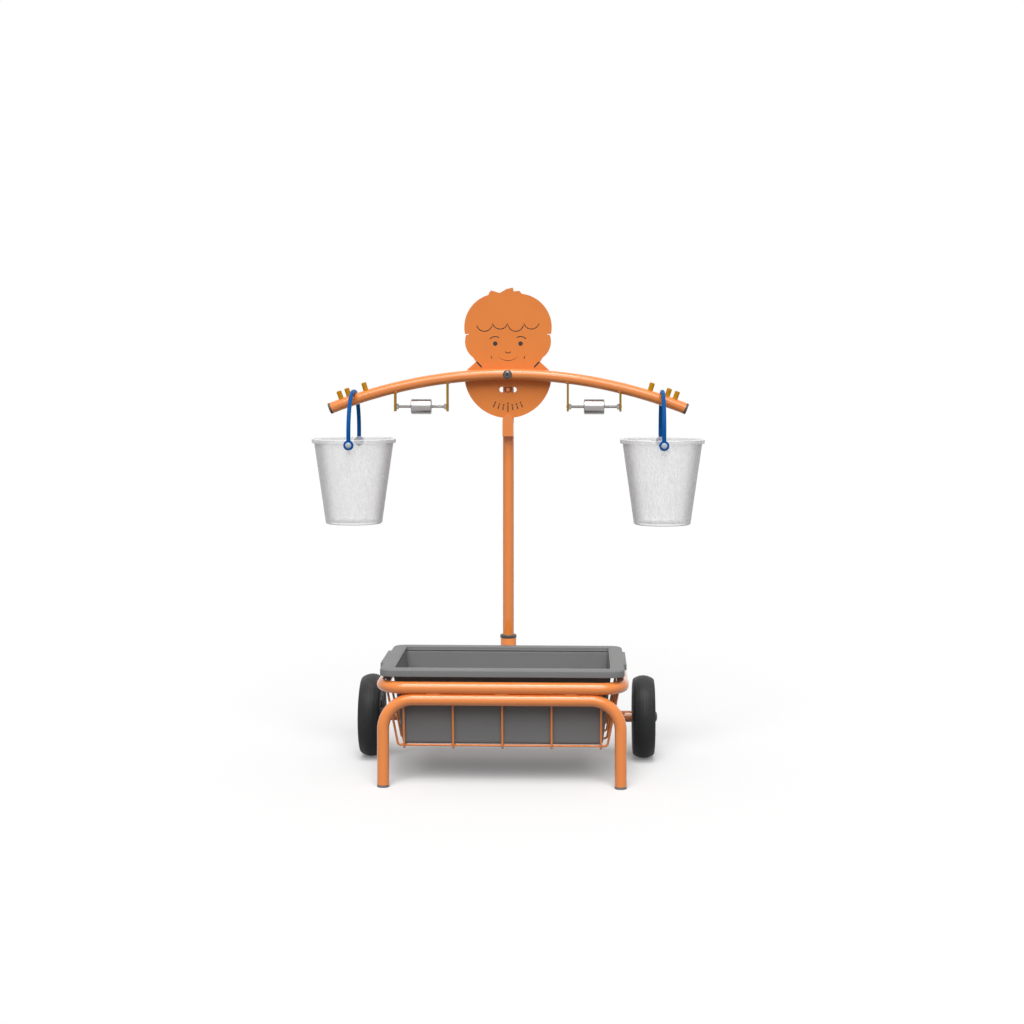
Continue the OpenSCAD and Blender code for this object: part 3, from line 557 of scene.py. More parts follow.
def draw_mottle(graph: Graph, given: object, place: object) -> dict:
    """Pebbled skin of a frosted moulding: cells bent by noise, as a mask and as a height."""
    warp = graph.add("TexNoise", {"Vector": place, "Scale": 90.0, "Detail": 2.0}).outputs["Color"]
    bent = graph.add("VectorMath", {0: warp, "Scale": 0.012}, operation="SCALE").outputs["Vector"]
    moved = graph.add("VectorMath", {0: place, 1: bent}, operation="ADD").outputs["Vector"]
    scale = graph.math("DIVIDE", 1.0, given["Size"])
    inputs = {"Vector": moved, "Scale": scale, "Smoothness": 0.6}
    cells = graph.add("TexVoronoi", inputs, feature="SMOOTH_F1")
    height = cells.outputs["Distance"]
    bump = graph.add("Bump", {"Height": height, "Distance": given["Depth"], "Strength": 1.0})
    return {"Mask": graph.remap(height, 0.15, 0.75, 0.0, 1.0), "Normal": bump.outputs["Normal"]}


RELIEF = {"Mask": "Float", "Normal": "Vector"}
PEEL = Effect("surface_peel", {"Size": 1 * MM, "Depth": 0.05 * MM}, draw_peel, RELIEF)
CLOUD = Effect("colour_cloud", {"Size": 80 * MM, "Amount": 1.0}, draw_cloud)
# Lighter edges: partly rubbed wear, partly painted highlight where a rounded edge would catch the light.
EDGE_WEAR_AND_HIGHLIGHT = Effect("edge_wear_and_highlight", {"Radius": 1 * MM, "Amount": 1.0}, draw_edge_wear_and_highlight)
DUST = Effect("fine_dust", {"Amount": 0.2}, draw_dust)
# Painted shade: darkens hollows found by ambient occlusion, standing in for the shade that falls there.
HOLLOW_SHADE = Effect("painted_hollow_shade", {"Reach": 4 * MM, "Amount": 1.0}, draw_hollow_shade)
STREAK = Effect("drawn_lines", {"Stretch": (100.0,) * 3, "Depth": 0.02 * MM}, draw_streak, RELIEF)
MOTTLE = Effect("pebbled_skin", {"Size": 3 * MM, "Depth": 0.2 * MM}, draw_mottle, RELIEF)


@dataclass(frozen=True)
class Finish:
    """How a surface is coloured and finished.

    The colour drifts to cloud by cloud_amount, lightens along edges (rubbed wear, and painted highlight
    along edges), darkens in hollows by painted shade where ambient occlusion finds them, and takes dust on
    top. The bump is a peel or grain of peel_size and peel_depth, or lines drawn out by stretch. The slot is
    the record's material slot.
    """

    name: str
    slot: str
    colour: Colour
    roughness: float
    metallic: float = 0.0
    specular: float = 0.5
    coat: float = 0.0
    coat_roughness: float = 0.04
    peel_size: float = 1.2 * MM
    peel_depth: float = 0.03 * MM
    cloud: Colour | None = None
    cloud_size: float = 90 * MM
    cloud_amount: float = 0.5
    # Lighter edge colour, its radius and its strength: rubbed wear and painted highlight along edges.
    worn_and_highlit: Colour | None = None
    worn_and_highlit_radius: float = 0.8 * MM
    worn_and_highlit_amount: float = 0.35
    # Strength of the painted shade in hollows, found by ambient occlusion.
    hollow_shade: float = 0.0
    dust: float = 0.06
    stretch: tuple[float, float, float] | None = None
    # Colour of the painted shade in hollows.
    hollow_shade_colour: Colour = (0.008, 0.007, 0.006)
    dust_colour: Colour = (0.62, 0.60, 0.57)

    def surface(self, graph: Graph) -> dict:
        """Base colour, roughness and normal, each changing over the surface.

        Returns:
            Sockets or values by the names of the shader's inputs.
        """
        tint: object = (*self.colour, 1.0)
        if self.cloud:
            drift = CLOUD.place(graph, size=self.cloud_size, amount=self.cloud_amount)["Mask"]
            tint = graph.mix(drift, tint, (*self.cloud, 1.0))
        # Edges lightened: rubbed wear and painted highlight along edges.
        if self.worn_and_highlit:
            worn_and_lit_edges = EDGE_WEAR_AND_HIGHLIGHT.place(graph, radius=self.worn_and_highlit_radius, amount=self.worn_and_highlit_amount)["Mask"]
            tint = graph.mix(worn_and_lit_edges, tint, (*self.worn_and_highlit, 1.0))
        # Painted shade: hollows darkened where ambient occlusion finds them.
        if self.hollow_shade:
            shaded_hollows = HOLLOW_SHADE.place(graph, amount=self.hollow_shade)["Mask"]
            tint = graph.mix(shaded_hollows, tint, (*self.hollow_shade_colour, 1.0))
        settled = DUST.place(graph, amount=self.dust)["Mask"]
        tint = graph.mix(settled, tint, (*self.dust_colour, 1.0))
        if self.stretch:
            skin = STREAK.place(graph, stretch=self.stretch, depth=self.peel_depth)
        else:
            skin = PEEL.place(graph, size=self.peel_size, depth=self.peel_depth)
        gloss = graph.remap(skin["Mask"], 0.3, 0.7, self.roughness * 0.88, self.roughness * 1.12)
        gloss = graph.math("ADD", gloss, graph.math("MULTIPLY", settled, 0.4), clamp=True)
        return {"Base Color": tint, "Roughness": gloss, "Normal": skin["Normal"]}

    def constants(self) -> dict[str, float]:
        """Values that are the same all over the surface, by the names of the shader's inputs."""
        return {"Metallic": self.metallic, "Specular IOR Level": self.specular,
                "Coat Weight": self.coat, "Coat Roughness": self.coat_roughness}

    def material(self) -> bpy.types.Material:
        """The material, made on first use."""
        if self.name in bpy.data.materials:
            return bpy.data.materials[self.name]
        made = bpy.data.materials.new(self.name)
        made.use_nodes = True
        made.diffuse_color = (*self.colour, 1.0)
        made.node_tree.nodes.clear()
        graph = Graph(made.node_tree)
        shader = graph.add("BsdfPrincipled", {**self.constants(), **self.surface(graph)})
        graph.add("OutputMaterial", {"Surface": shader.outputs["BSDF"]})
        return made

    def paint(self, obj: bpy.types.Object) -> None:
        """Gives the object this material alone."""
        obj.data.materials.clear()
        obj.data.materials.append(self.material())


@dataclass(frozen=True)
class FrostedFinish(Finish):
    """Milky moulding that shows a little of what is behind it and has a pebbled skin.

    Its opacity is about solid where it is seen straight on and grows by slant towards its outline.
    """

    solid: float = 0.38
    slant: float = 1.6
    mottle_size: float = 3.6 * MM
    mottle_depth: float = 0.3 * MM
    shade: Colour = (0.62, 0.62, 0.63)

    def surface(self, graph: Graph) -> dict:
        """Base colour, roughness, opacity and normal of the pebbled skin; the backs of faces are clear."""
        skin = MOTTLE.place(graph, size=self.mottle_size, depth=self.mottle_depth)
        shaded = graph.math("MULTIPLY", skin["Mask"], self.cloud_amount)
        tint = graph.mix(shaded, (*self.colour, 1.0), (*self.shade, 1.0))
        gloss = graph.remap(skin["Mask"], 0.0, 1.0, self.roughness * 0.85, self.roughness * 1.15)
        veil = graph.remap(skin["Mask"], 0.0, 1.0, self.solid * 0.75, self.solid * 1.25)
        slant = graph.add("LayerWeight", {"Blend": 0.5}).outputs["Facing"]
        slant = graph.math("MULTIPLY", slant, self.slant, clamp=True)
        front = graph.math("SUBTRACT", 1.0, graph.add("NewGeometry").outputs["Backfacing"])
        veil = graph.math("MULTIPLY", graph.math("MAXIMUM", veil, slant), front)
        return {"Base Color": tint, "Roughness": gloss, "Alpha": veil, "Normal": skin["Normal"]}


# Each finish's lighter edge colour stands for rubbed wear and for painted highlight along edges.
ORANGE_PAINT = Finish(
    "orange_powder_coat", "orange_paint", (0.85, 0.250, 0.045), 0.45, specular=0.1, coat=1.0,
    peel_size=1.4 * MM, peel_depth=0.02 * MM, cloud=(0.76, 0.215, 0.038), cloud_amount=0.25,
    worn_and_highlit=(0.86, 0.40, 0.16), worn_and_highlit_amount=0.2)
OCHRE_PAINT = Finish(
    "ochre_powder_coat", "ochre_paint", (0.52, 0.225, 0.003), 0.45, specular=0.08,
    cloud=(0.44, 0.195, 0.005), cloud_amount=0.4, worn_and_highlit=(0.60, 0.34, 0.05), worn_and_highlit_amount=0.15, dust=0.02)
OLIVE_PAINT = Finish(
    "olive_powder_coat", "ochre_paint", (0.34, 0.185, 0.008), 0.45, specular=0.08,
    cloud=(0.28, 0.155, 0.010), cloud_amount=0.4, worn_and_highlit=(0.50, 0.30, 0.06), worn_and_highlit_amount=0.15, dust=0.02)
ZINC = Finish(
    "zinc_plated_steel", "zinc_steel", (0.36, 0.345, 0.34), 0.27, metallic=1.0, peel_depth=0.01 * MM,
    stretch=(1800.0, 60.0, 60.0), cloud=(0.31, 0.30, 0.295), cloud_amount=0.35,
    worn_and_highlit=(0.55, 0.54, 0.53), worn_and_highlit_amount=0.4)
TUB_GREY = Finish(
    "grey_moulded_plastic", "grey_plastic", (0.195, 0.195, 0.195), 0.55, specular=0.2,
    peel_size=0.9 * MM, peel_depth=0.06 * MM, cloud=(0.18, 0.18, 0.18), cloud_amount=0.35,
    worn_and_highlit=(0.27, 0.27, 0.27), worn_and_highlit_radius=1.2 * MM, worn_and_highlit_amount=0.25, dust=0.03)
FOOT_GREY = Finish(
    "grey_foot_plastic", "grey_plastic", (0.17, 0.165, 0.16), 0.5, peel_size=0.8 * MM,
    peel_depth=0.04 * MM, worn_and_highlit=(0.3, 0.3, 0.29), dust=0.05)
DARK_PLASTIC = Finish(
    "dark_moulded_plastic", "dark_plastic", (0.075, 0.068, 0.06), 0.4, peel_size=0.8 * MM,
    peel_depth=0.04 * MM, cloud=(0.06, 0.055, 0.05), worn_and_highlit=(0.2, 0.19, 0.18), dust=0.08)
RUBBER = Finish(
    "black_tyre_rubber", "tyre_rubber", (0.018, 0.019, 0.020), 0.55, specular=0.2,
    peel_size=0.7 * MM, peel_depth=0.07 * MM, cloud=(0.028, 0.028, 0.028), cloud_size=45 * MM,
    worn_and_highlit=(0.06, 0.06, 0.058), dust=0.08)
SKIN_ORANGE = Finish(
    "orange_sheet_skin", "sheet_orange", (0.80, 0.240, 0.050), 0.42, specular=0.3,
    peel_size=0.6 * MM, cloud=(0.74, 0.21, 0.045), cloud_amount=0.3,
    worn_and_highlit=(0.9, 0.45, 0.2), worn_and_highlit_amount=0.25, dust=0.02)
CORE_BLACK = Finish(
    "black_sheet_core", "sheet_core", (0.012, 0.010, 0.009), 0.5, peel_size=0.8 * MM,
    worn_and_highlit=(0.05, 0.05, 0.05), dust=0.03)
BLUE_PLASTIC = Finish(
    "blue_moulded_plastic", "blue_plastic", (0.003, 0.092, 0.33), 0.4, specular=0.05,
    peel_size=1.0 * MM, peel_depth=0.02 * MM, cloud=(0.003, 0.075, 0.27), cloud_amount=0.4,
    worn_and_highlit=(0.02, 0.14, 0.40), worn_and_highlit_amount=0.2, dust=0.01)
BUTTON_GREY = Finish(
    "pale_button_plastic", "clear_plastic", (0.45, 0.49, 0.56), 0.3, specular=0.4,
    peel_depth=0.01 * MM, worn_and_highlit=(0.6, 0.6, 0.62), dust=0.03)
FROSTED = FrostedFinish(
    "frosted_moulded_plastic", "frosted_plastic", (0.97, 0.97, 0.975), 0.42, specular=0.3,
    cloud_amount=0.6)
# The socket of the pivot screw and its other hollows get painted shade from ambient occlusion.
BOLT_GREY = Finish(
    "grey_pivot_steel", "zinc_steel", (0.13, 0.12, 0.115), 0.3, metallic=1.0, peel_depth=0.01 * MM,
    cloud=(0.10, 0.095, 0.09), worn_and_highlit=(0.25, 0.25, 0.26), hollow_shade=1.0, dust=0.0)


@dataclass
class Assembly:
    """Pieces that ride on one body of the frame."""

    body: str = "frame"

    def build(self) -> None:
        """Builds and dresses the pieces; each assembly has its own."""
        raise NotImplementedError

    def place(self, name: str, shell: Shell, finish: Finish, *nodes: str, crease: float = 38.0) -> None:
        """Makes a shell a piece of this body.

        Args:
            name: name of the piece.
            shell: its surfaces.
            finish: its finish.
            nodes: CAD nodes that it stands for.
            crease: angle in degrees over which an edge stays sharp.
        """
        piece = shell.build(name, crease)
        finish.paint(piece)
        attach(piece, self.body)
        if nodes:
            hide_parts(*nodes)
        LOG.info("%s: %d faces on %s", name, len(piece.data.polygons), self.body)

    def keep(self, finish: Finish, *nodes: str) -> None:
        """Dresses CAD nodes that stay as they are."""
        for node in nodes:
            finish.paint(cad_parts[node])
            LOG.info("%s: kept, in %s", node, finish.name)

    def soften(self, finish: Finish, width: float, *nodes: str) -> None:
        """Dresses CAD nodes that stay, with their sharp edges rounded by modifiers of this width."""
        self.keep(finish, *nodes)
        for node in nodes:
            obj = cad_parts[node]
            obj.modifiers.new("weld", "WELD").merge_threshold = 1e-6
            flat = obj.modifiers.new("flat", "DECIMATE")
            flat.decimate_type = "DISSOLVE"
            flat.angle_limit = math.radians(0.5)
            edge = obj.modifiers.new("edge", "BEVEL")
            edge.width, edge.segments, edge.limit_method = width, 2, "ANGLE"
            edge.angle_limit = math.radians(35)
            edge.harden_normals = True


@dataclass
class TubeFrame(Assembly):
    """Leg hoop, ring, axle tube and struts, with their feet and welds."""

    tube_r: float = 15 * MM
    strut_r: float = 12 * MM
    strut_x: float = 180 * MM
    plug_r: float = 12.7 * MM
    weld_r: float = 2.4 * MM
    stitch: float = 34 * MM
    stitch_xs: tuple[float, ...] = (-170 * MM, 0.0, 170 * MM)
    groove: float = 5.5 * MM
    patch: tuple[float, float] = (11 * MM, 9 * MM)

    def build(self) -> None:
        """Builds the feet and the welds, and dresses the tubes."""
        self.keep(ORANGE_PAINT, "leg_hoop", "ring_frame", "axle_struts", "axle_tube")
        self.place("foot_pads", self.feet(), FOOT_GREY, "foot_caps")
        self.place("frame_welds", self.welds(), ORANGE_PAINT)

    def feet(self) -> Shell:
        """Round pads with softened edges, and the plug that goes up into the leg."""
        low, high = span("foot_caps")
        pad_h, plug_h = span("leg_hoop")[0][2], high[2]
        r, plug = self.tube_r, self.plug_r
        low_edge, top_edge, lead = 1 * MM, 0.8 * MM, 2 * MM
        line = [[0, 0], [r - low_edge, 0], [r, low_edge], [r, pad_h - top_edge], [r - top_edge, pad_h],
                [plug, pad_h], [plug, plug_h - lead], [plug - lead, plug_h], [0, plug_h]]
        shell = Shell()
        for x in (low[0] + r, high[0] - r):
            shell.add(lathe(line, 0.4 * MM, 3, [x, (low[1] + high[1]) / 2, 0]))
        return shell

    def welds(self) -> Shell:
        """Stitches between hoop and ring, and beads round the socket and the struts."""
        shell = Shell()
        hoop_top = span("leg_hoop")[1][2]
        low, high = span("ring_frame")
        r, thin = self.tube_r, 0.8 * self.weld_r
        front, back, ring_z = low[1] + r, high[1] - r, (low[2] + high[2]) / 2
        run = np.linspace(-self.stitch / 2, self.stitch / 2, 90)[:, None] * [1, 0, 0]
        up = np.broadcast_to([0, 0, 1.0], run.shape)
        for x in self.stitch_xs:
            for s in (-1, 1):
                path = run + [x, front + s * self.groove, hoop_top]
                shell.add(bead(path, up, self.weld_r, closed=False))
        shell.add(self.socket_weld(back, ring_z))
        axle = middle("axle_tube")[1:]
        axle_r = np.ptp(span("axle_tube"), axis=0)[2] / 2
        way = np.array([0, *(axle - [back, ring_z])])
        outline = circle(self.strut_r, 120)
        for s in (-1, 1):
            head, foot = np.array([s * self.strut_x, back, ring_z]), np.array([s * self.strut_x, *axle])
            shell.add(saddle(head, way, outline, r, thin), closed_rows=True)
            shell.add(saddle(foot, -way, outline, axle_r, thin), closed_rows=True)
        return shell

    def socket_weld(self, back: float, ring_z: float) -> Array:
        """Bead round the oval patch where the socket meets the ring's back tube.

        It runs halfway between the tubes, at y = (back + sqrt(tube_r ** 2 - dz ** 2) + mast_y -
        sqrt(socket_r ** 2 - x ** 2)) / 2.
        """
        low, high = span("socket_tube")
        socket_r, mast_y = (high[0] - low[0]) / 2, (low[1] + high[1]) / 2
        x, dz = (circle(1.0, 120) * self.patch).T
        ring_y = back + np.sqrt(self.tube_r**2 - dz**2)
        socket_y = mast_y - np.sqrt(socket_r**2 - x**2)
        path = np.stack([x, (ring_y + socket_y) / 2, ring_z + dz], -1)
        grid = bead(path, np.broadcast_to([0, 1.0, 0], path.shape), self.weld_r)
        return np.concatenate([grid, grid[:1]])


@dataclass
class WireBasket(Assembly):
    """Crossed wires that carry the tub under the ring.

    The drops are the half sizes of the weld's drops, in radii of the wire.
    """

    wire_r: float = 3 * MM
    bend: float = 9 * MM
    long_count: int = 5
    cross_count: int = 4
    tuck: float = 11 * MM
    low_x: float = 262.5 * MM
    low_y: float = 149 * MM
    weld: float = 0.5 * MM
    crossing_drop: tuple[float, ...] = (1.25, 1.25, 0.6)
    long_drop: tuple[float, ...] = (1.3, 1.1, 1.3)
    cross_drop: tuple[float, ...] = (1.3, 1.3, 1.1)

    def build(self) -> None:
        """Builds the wires that run front to back, those that cross them, and the welds."""
        self.place("basket_wires_long", self.long_wires(), ORANGE_PAINT, "basket_long_wires")
        self.place("basket_wires_cross", self.cross_wires(), ORANGE_PAINT, "basket_cross_wires")
        self.place("basket_welds", self.welds(), ORANGE_PAINT)

    def ends(self) -> tuple[float, float, float, float, float]:
        """Front and back where long wires meet the ring, half of the cross wires' top, and ring heights."""
        low, high = span("ring_frame")
        tube_r = (high[2] - low[2]) / 2
        ring_z = (low[2] + high[2]) / 2
        reach = 2 * tube_r + self.wire_r - self.weld
        top = ring_z - math.sqrt((tube_r + self.wire_r - self.weld) ** 2 - self.tuck**2)
        return low[1] + reach, high[1] - reach, high[0] - tube_r - self.tuck, ring_z, top

    def long_xs(self) -> Array:
        """Places of the wires that run front to back."""
        outer = span("basket_long_wires")[1][0] - self.wire_r
        return np.linspace(-outer, outer, self.long_count)

    def cross_ys(self) -> Array:
        """Places of the crossing wires."""
        low, high = span("basket_cross_wires")
        return np.linspace(low[1] + self.wire_r, high[1] - self.wire_r, self.cross_count)

    def heights(self) -> tuple[float, float]:
        """Heights of the bottoms of the long and the crossing wires."""
        nodes = ("basket_long_wires", "basket_cross_wires")
        long_z, cross_z = (span(node)[0][2] + self.wire_r for node in nodes)
        return long_z, cross_z

    def wires(self, corners: list, across: int, places: Array) -> Shell:
        """Round wires along a bent line, one at each place.

        Args:
            corners: the line's corners in the plane that it lies in.
            across: which axis stands square to that plane.
            places: where the wires lie on that axis.

        Returns:
            The wires.
        """
        flat, way = rounded(corners, self.bend, 10)
        shell = Shell()
        for place in places:
            path, tangent = np.insert(flat, across, place, axis=1), np.insert(way, across, 0.0, axis=1)
            shell.add(swept(path, tangent, np.eye(3)[across], circle(self.wire_r, 16)))
        return shell

    def long_wires(self) -> Shell:
        """Wires bent down from the ring's front, along under the tub, and up to its back."""
        front, back, _, ring_z, _ = self.ends()
        tub_y, long_z = middle("tub")[1], self.heights()[0]
        corners = [[front, ring_z], [tub_y - self.low_y, long_z],
                   [tub_y + self.low_y, long_z], [back, ring_z]]
        return self.wires(corners, 0, self.long_xs())

    def cross_wires(self) -> Shell:
        """Wires bent down from the ring's left side, along under the tub, and up to its right side."""
        half, top = self.ends()[2], self.ends()[4]
        low = self.heights()[1]
        corners = [[-half, top], [-self.low_x, low], [self.low_x, low], [half, top]]
        return self.wires(corners, 1, self.cross_ys())

    def welds(self) -> Shell:
        """Small drops of weld where wires cross and where they meet the ring."""
        front, back, half, ring_z, top = self.ends()
        r = self.wire_r
        crossing_z = sum(self.heights()) / 2
        drops = [([x, y, crossing_z], self.crossing_drop) for x in self.long_xs() for y in self.cross_ys()]
        for y, s in ((front, -1), (back, 1)):
            drops += [([x, y + s * 0.5 * r, ring_z], self.long_drop) for x in self.long_xs()]
        for s in (-1, 1):
            drops += [([s * half, y, top + 0.3 * r], self.cross_drop) for y in self.cross_ys()]
        shell = Shell()
        for centre, size in drops:
            shell.add(ball(np.array(centre), np.array(size) * r))
        return shell


@dataclass
class Tub(Assembly):
    """Open grey tub with a turned-down rim, a ledge inside it and a grip at each end."""

    body: str = "tub"
    half_x: float = 272 * MM
    half_y: float = 164.5 * MM
    wall: float = 3 * MM
    taper: float = 19.5 * MM
    edge_r: float = 10 * MM
    flange: float = 33 * MM
    corner: float = 30 * MM
    rim_h: float = 18.5 * MM
    step: float = 8 * MM
    groove: tuple[float, float] = (2.2 * MM, 5 * MM)
    panel: Pairs = ((14, 1.2), (11, 1.2), (9, 0))
    grip_out: float = 6.5 * MM
    grip_l: float = 196 * MM
    grip_sink: float = 2 * MM
    grip_up: float = 3 * MM
    floor: float = field(init=False)
    top: float = field(init=False)
    centre: Array = field(init=False)

    def build(self) -> None:
        """Builds the tub and its grips as one piece."""
        low, high = span("tub")
        self.floor, self.top = low[2], high[2]
        self.centre = middle("tub") * [0, 1, 0]
        shell = Shell().add(self.bowl())
        for s in (-1, 1):
            shell.add(self.grip(s))
        self.place("grey_tub", shell, TUB_GREY, "tub", crease=50)

    def rim_line(self) -> Array:
        """Rounded line from the groove inside, over the ledge and the rim, to the outer wall under it.

        Each point is how far it lies out from the wall's outer side, and its height.
        """
        z, w, out = self.top, self.wall, self.flange
        ledge, deck, skirt = z - self.step, z - 4 * MM, z - self.rim_h
        deep, tall = self.groove
        inner = [[-w, ledge - tall - 3 * MM], [-w, ledge - tall - 1 * MM], [deep - w, ledge - tall],
                 [deep - w, ledge - 1 * MM], [-w, ledge - 0.8 * MM], [-w, ledge], [0.5 * MM, ledge],
                 [0.5 * MM, z - 1.5 * MM], [2 * MM, z]]
        outer = [[out - 3 * MM, z], [out, z - 3 * MM], [out, skirt + 1 * MM], [out - 1 * MM, skirt]]
        under = [[out - w, skirt], [out - w, deck - 2 * MM], [out - w - 2 * MM, deck], [5 * MM, deck],
                 [3.5 * MM, deck - 1.5 * MM], [3.5 * MM, ledge - w], [0.4 * MM, ledge - w - 0.3 * MM],
                 [0, ledge - w - 2 * MM]]
        inner_bends = [0.4, 0.4, 0.3, 0.1, 0.3, 0.3, 0.8, 0.7]
        bends = np.array(inner_bends + [1.5, 2.5, 1, 0.5] + [0.5, 1, 1, 1, 0.8, 0.6, 0.4]) * MM
        return rounded(inner + outer + under, bends, 3)[0]

    def foot_line(self, wall: float) -> Array:
        """Quarter turn from the floor to the side, on a face that lies wall inside the outer one.

        Each row is (-taper - wall - r (1 - sin a), r sin a, floor + wall + r (1 - cos a)), with r the radius
        there: the inset, the corner radius and the height.
        """
        a = np.linspace(0, np.pi / 2, 10)
        r = self.edge_r - wall
        inset = -self.taper - wall - r * (1 - np.sin(a))
        return np.stack([inset, r * np.sin(a), self.floor + wall + r * (1 - np.cos(a))], -1)

    def bowl(self) -> Array:
        """Rounded rectangles from the floor inside, over the rim, to the floor outside.

        Each row has an inset from the tub's half sizes, a corner radius and a height. The ledge and the
        groove under it run along the front and the back; the end walls go straight up to the rim. The panel
        is a slightly raised middle of the floor, given in mm in from the foot and up from the floor.
        """
        w, e = self.wall, self.edge_r
        edge = self.rim_line()
        share = np.clip(edge[:, 0] / self.flange, 0, 1)
        rim = np.stack([edge[:, 0], e + (self.corner - e) * share, edge[:, 1]], -1)
        inward, rise = np.array(self.panel).T * MM
        corner = np.array([0.5, 1, 1]) * MM
        panel = np.stack([-self.taper - e - inward, corner, self.floor + w + rise], -1)
        foot_in = self.foot_line(w)
        rows = np.concatenate([panel, foot_in, rim, self.foot_line(0)[::-1]])
        ledge_rows = 4 * 7
        inside = np.arange(len(rows)) < len(panel) + len(foot_in) + ledge_rows
        ends = np.where(inside, np.minimum(rows[:, 0], -w), rows[:, 0])
        return stacked(self.half_x + ends, self.half_y + rows[:, 0], rows[:, 1], rows[:, 2], self.centre)

    def grip(self, s: int) -> Array:
        """Pad on the rim's end, with its edges rounded by 1.5 mm and its top 0.2 mm under the rim's."""
        r, under_rim = 1.5 * MM, 0.2 * MM
        a = np.linspace(0, np.pi / 2, 5)
        height = self.rim_h - self.grip_up
        lift = np.concatenate([r * (1 - np.cos(a)), height - r * (1 - np.cos(a[::-1]))])
        draw = np.concatenate([r * (1 - np.sin(a)), r * (1 - np.sin(a[::-1]))])
        wide, long = self.grip_out / 2 + self.grip_sink - draw, self.grip_l / 2 - draw
        x = self.half_x + self.flange + self.grip_out / 2 - self.grip_sink
        base = self.centre + [s * x, 0, self.top - height - under_rim]
        return stacked(wide, long, 3 * MM - draw * 0.8, lift, base, 5)


@dataclass
class Wheel(Assembly):
    """Solid tyre on a moulded rim with six round holes.

    The corners of the tyre's side are in mm, out from the tread's edge or from the hub, and out from the
    plane of the side.
    """

    side: Side = Side.LEFT
    crown: float = 10 * MM
    shoulder: float = 3.5 * MM
    tread_grooves: tuple[float, ...] = (-0.6, -0.2, 0.2, 0.6)
    groove_w: float = 0.9 * MM
    groove_deep: float = 0.5 * MM
    side_upper: Pairs = ((-1.5, -0.3), (-9, 0), (-10, 0.9), (-12, 0.9), (-13.5, 0.2))
    side_lower: Pairs = ((24, -0.5), (20, -3), (17, -3.2), (15, -2), (8, -2.5), (1.5, -7), (0.05, -12))
    hub_r: float = 46 * MM
    axle_r: float = 6.05 * MM
    web: tuple[float, float] = (20 * MM, 40 * MM)
    web_t: float = 7.6 * MM
    hole_r: float = 4.5 * MM
    hole_ring_r: float = 30 * MM
    holes: int = 6
    centre: Array = field(init=False)
    half: float = field(init=False)
    outer: float = field(init=False)

    def build(self) -> None:
        """Builds the tyre and the rim of one wheel."""
        tag = self.side.tag
        self.body = "wheel_" + tag
        low, high = span("tyre_" + tag)
        self.centre, self.half = (low + high) / 2, (high[0] - low[0]) / 2
        self.outer = (high[2] - low[2]) / 2
        self.place("wheel_tyre_" + tag, self.tyre(), RUBBER, "tyre_" + tag, crease=60)
        self.place("wheel_rim_" + tag, self.rim(), TUB_GREY, "rim_" + tag)

    def tyre(self) -> Shell:
        """Section from bead to bead over a crowned tread.

        The tread's height over its middle is outer - crown * (x / half) ** 2, less a shallow groove of
        groove_deep * exp(-((x - x0) / groove_w) ** 2) at each of four places.
        """
        half, edge_r = self.half, self.outer - self.crown
        x = np.linspace(-half + self.shoulder, half - self.shoulder, 61)
        grooves = sum(np.exp(-(((x - c * half) / self.groove_w) ** 2)) for c in self.tread_grooves)
        tread = np.stack([self.outer - self.crown * (x / half) ** 2 - self.groove_deep * grooves, x], -1)
        upper = np.array(self.side_upper) * MM + [edge_r, half]
        lower = np.array(self.side_lower) * MM + [self.hub_r, half]
        wall, _ = rounded(np.concatenate([upper, lower]), 1.2 * MM, 4)
        section = np.concatenate([tread, mirrored(wall)])
        return Shell().add(turned(section[:, 0], section[:, 1], self.centre, Axis.X, 144), closed_rows=True)

    def rim(self) -> Shell:
        """Hub, holed web and rim ring, each closed in itself."""
        shell = Shell()
        half, ring_half = self.half, self.half - 4 * MM
        bore, seat = self.axle_r, self.hub_r
        hub = [[bore, half - 0.5 * MM], [bore + 1 * MM, half], [16 * MM, half], [18 * MM, half - 2 * MM],
               [19 * MM, 10 * MM], [22 * MM, 4 * MM]]
        ring = [[seat, ring_half - 1 * MM], [seat - 0.5 * MM, ring_half], [42 * MM, ring_half],
                [40.5 * MM, ring_half - 2 * MM], [41.5 * MM, 6 * MM], [38 * MM, 4 * MM]]
        for corners in (hub, ring):
            grid = lathe(mirrored(corners), 0.6 * MM, 3, self.centre, Axis.X, 96, closed=True)
            shell.add(grid, closed_rows=True)
        web = holed_disc(*self.web, self.hole_r, self.hole_ring_r, self.web_t, self.holes)
        for sector in np.roll(web, 1, axis=-1) + self.centre:
            shell.add(sector, closed_rows=True)
        return shell


@dataclass
class Axle(Assembly):
    """Rod through both wheels, with a push-on cap at each end."""

    cap_r: float = 13 * MM
    cap_deep: float = 7 * MM
    dome_h: float = 4.5 * MM
    bore: float = 6.05 * MM

    def build(self) -> None:
        """Builds the caps and dresses the rod."""
        self.soften(ZINC, 0.5 * MM, "axle_rod")
        self.place("axle_end_caps", self.caps(), DARK_PLASTIC, "axle_caps")

    def caps(self) -> Shell:
        """Domed caps: radius cap_r * cos a at dome_h * (sin a - 1) from the end, over a blind bore."""
        low, high = span("axle_caps")
        y, z = middle("axle_caps")[1:]
        shell = Shell()
        a = np.linspace(0, np.pi / 2, 12)
        r, deep, edge = self.cap_r, self.cap_deep, 0.5 * MM
        bore_end = 2 * MM - deep
        radius = np.concatenate([[0, self.bore, self.bore, r - edge, r], r * np.cos(a)])
        h = np.concatenate([[bore_end, bore_end, -deep, -deep, edge - deep], self.dome_h * (np.sin(a) - 1)])
        for x, s in ((low[0], -1), (high[0], 1)):
            shell.add(turned(radius, s * h, [x, y, z], Axis.X))
        return shell


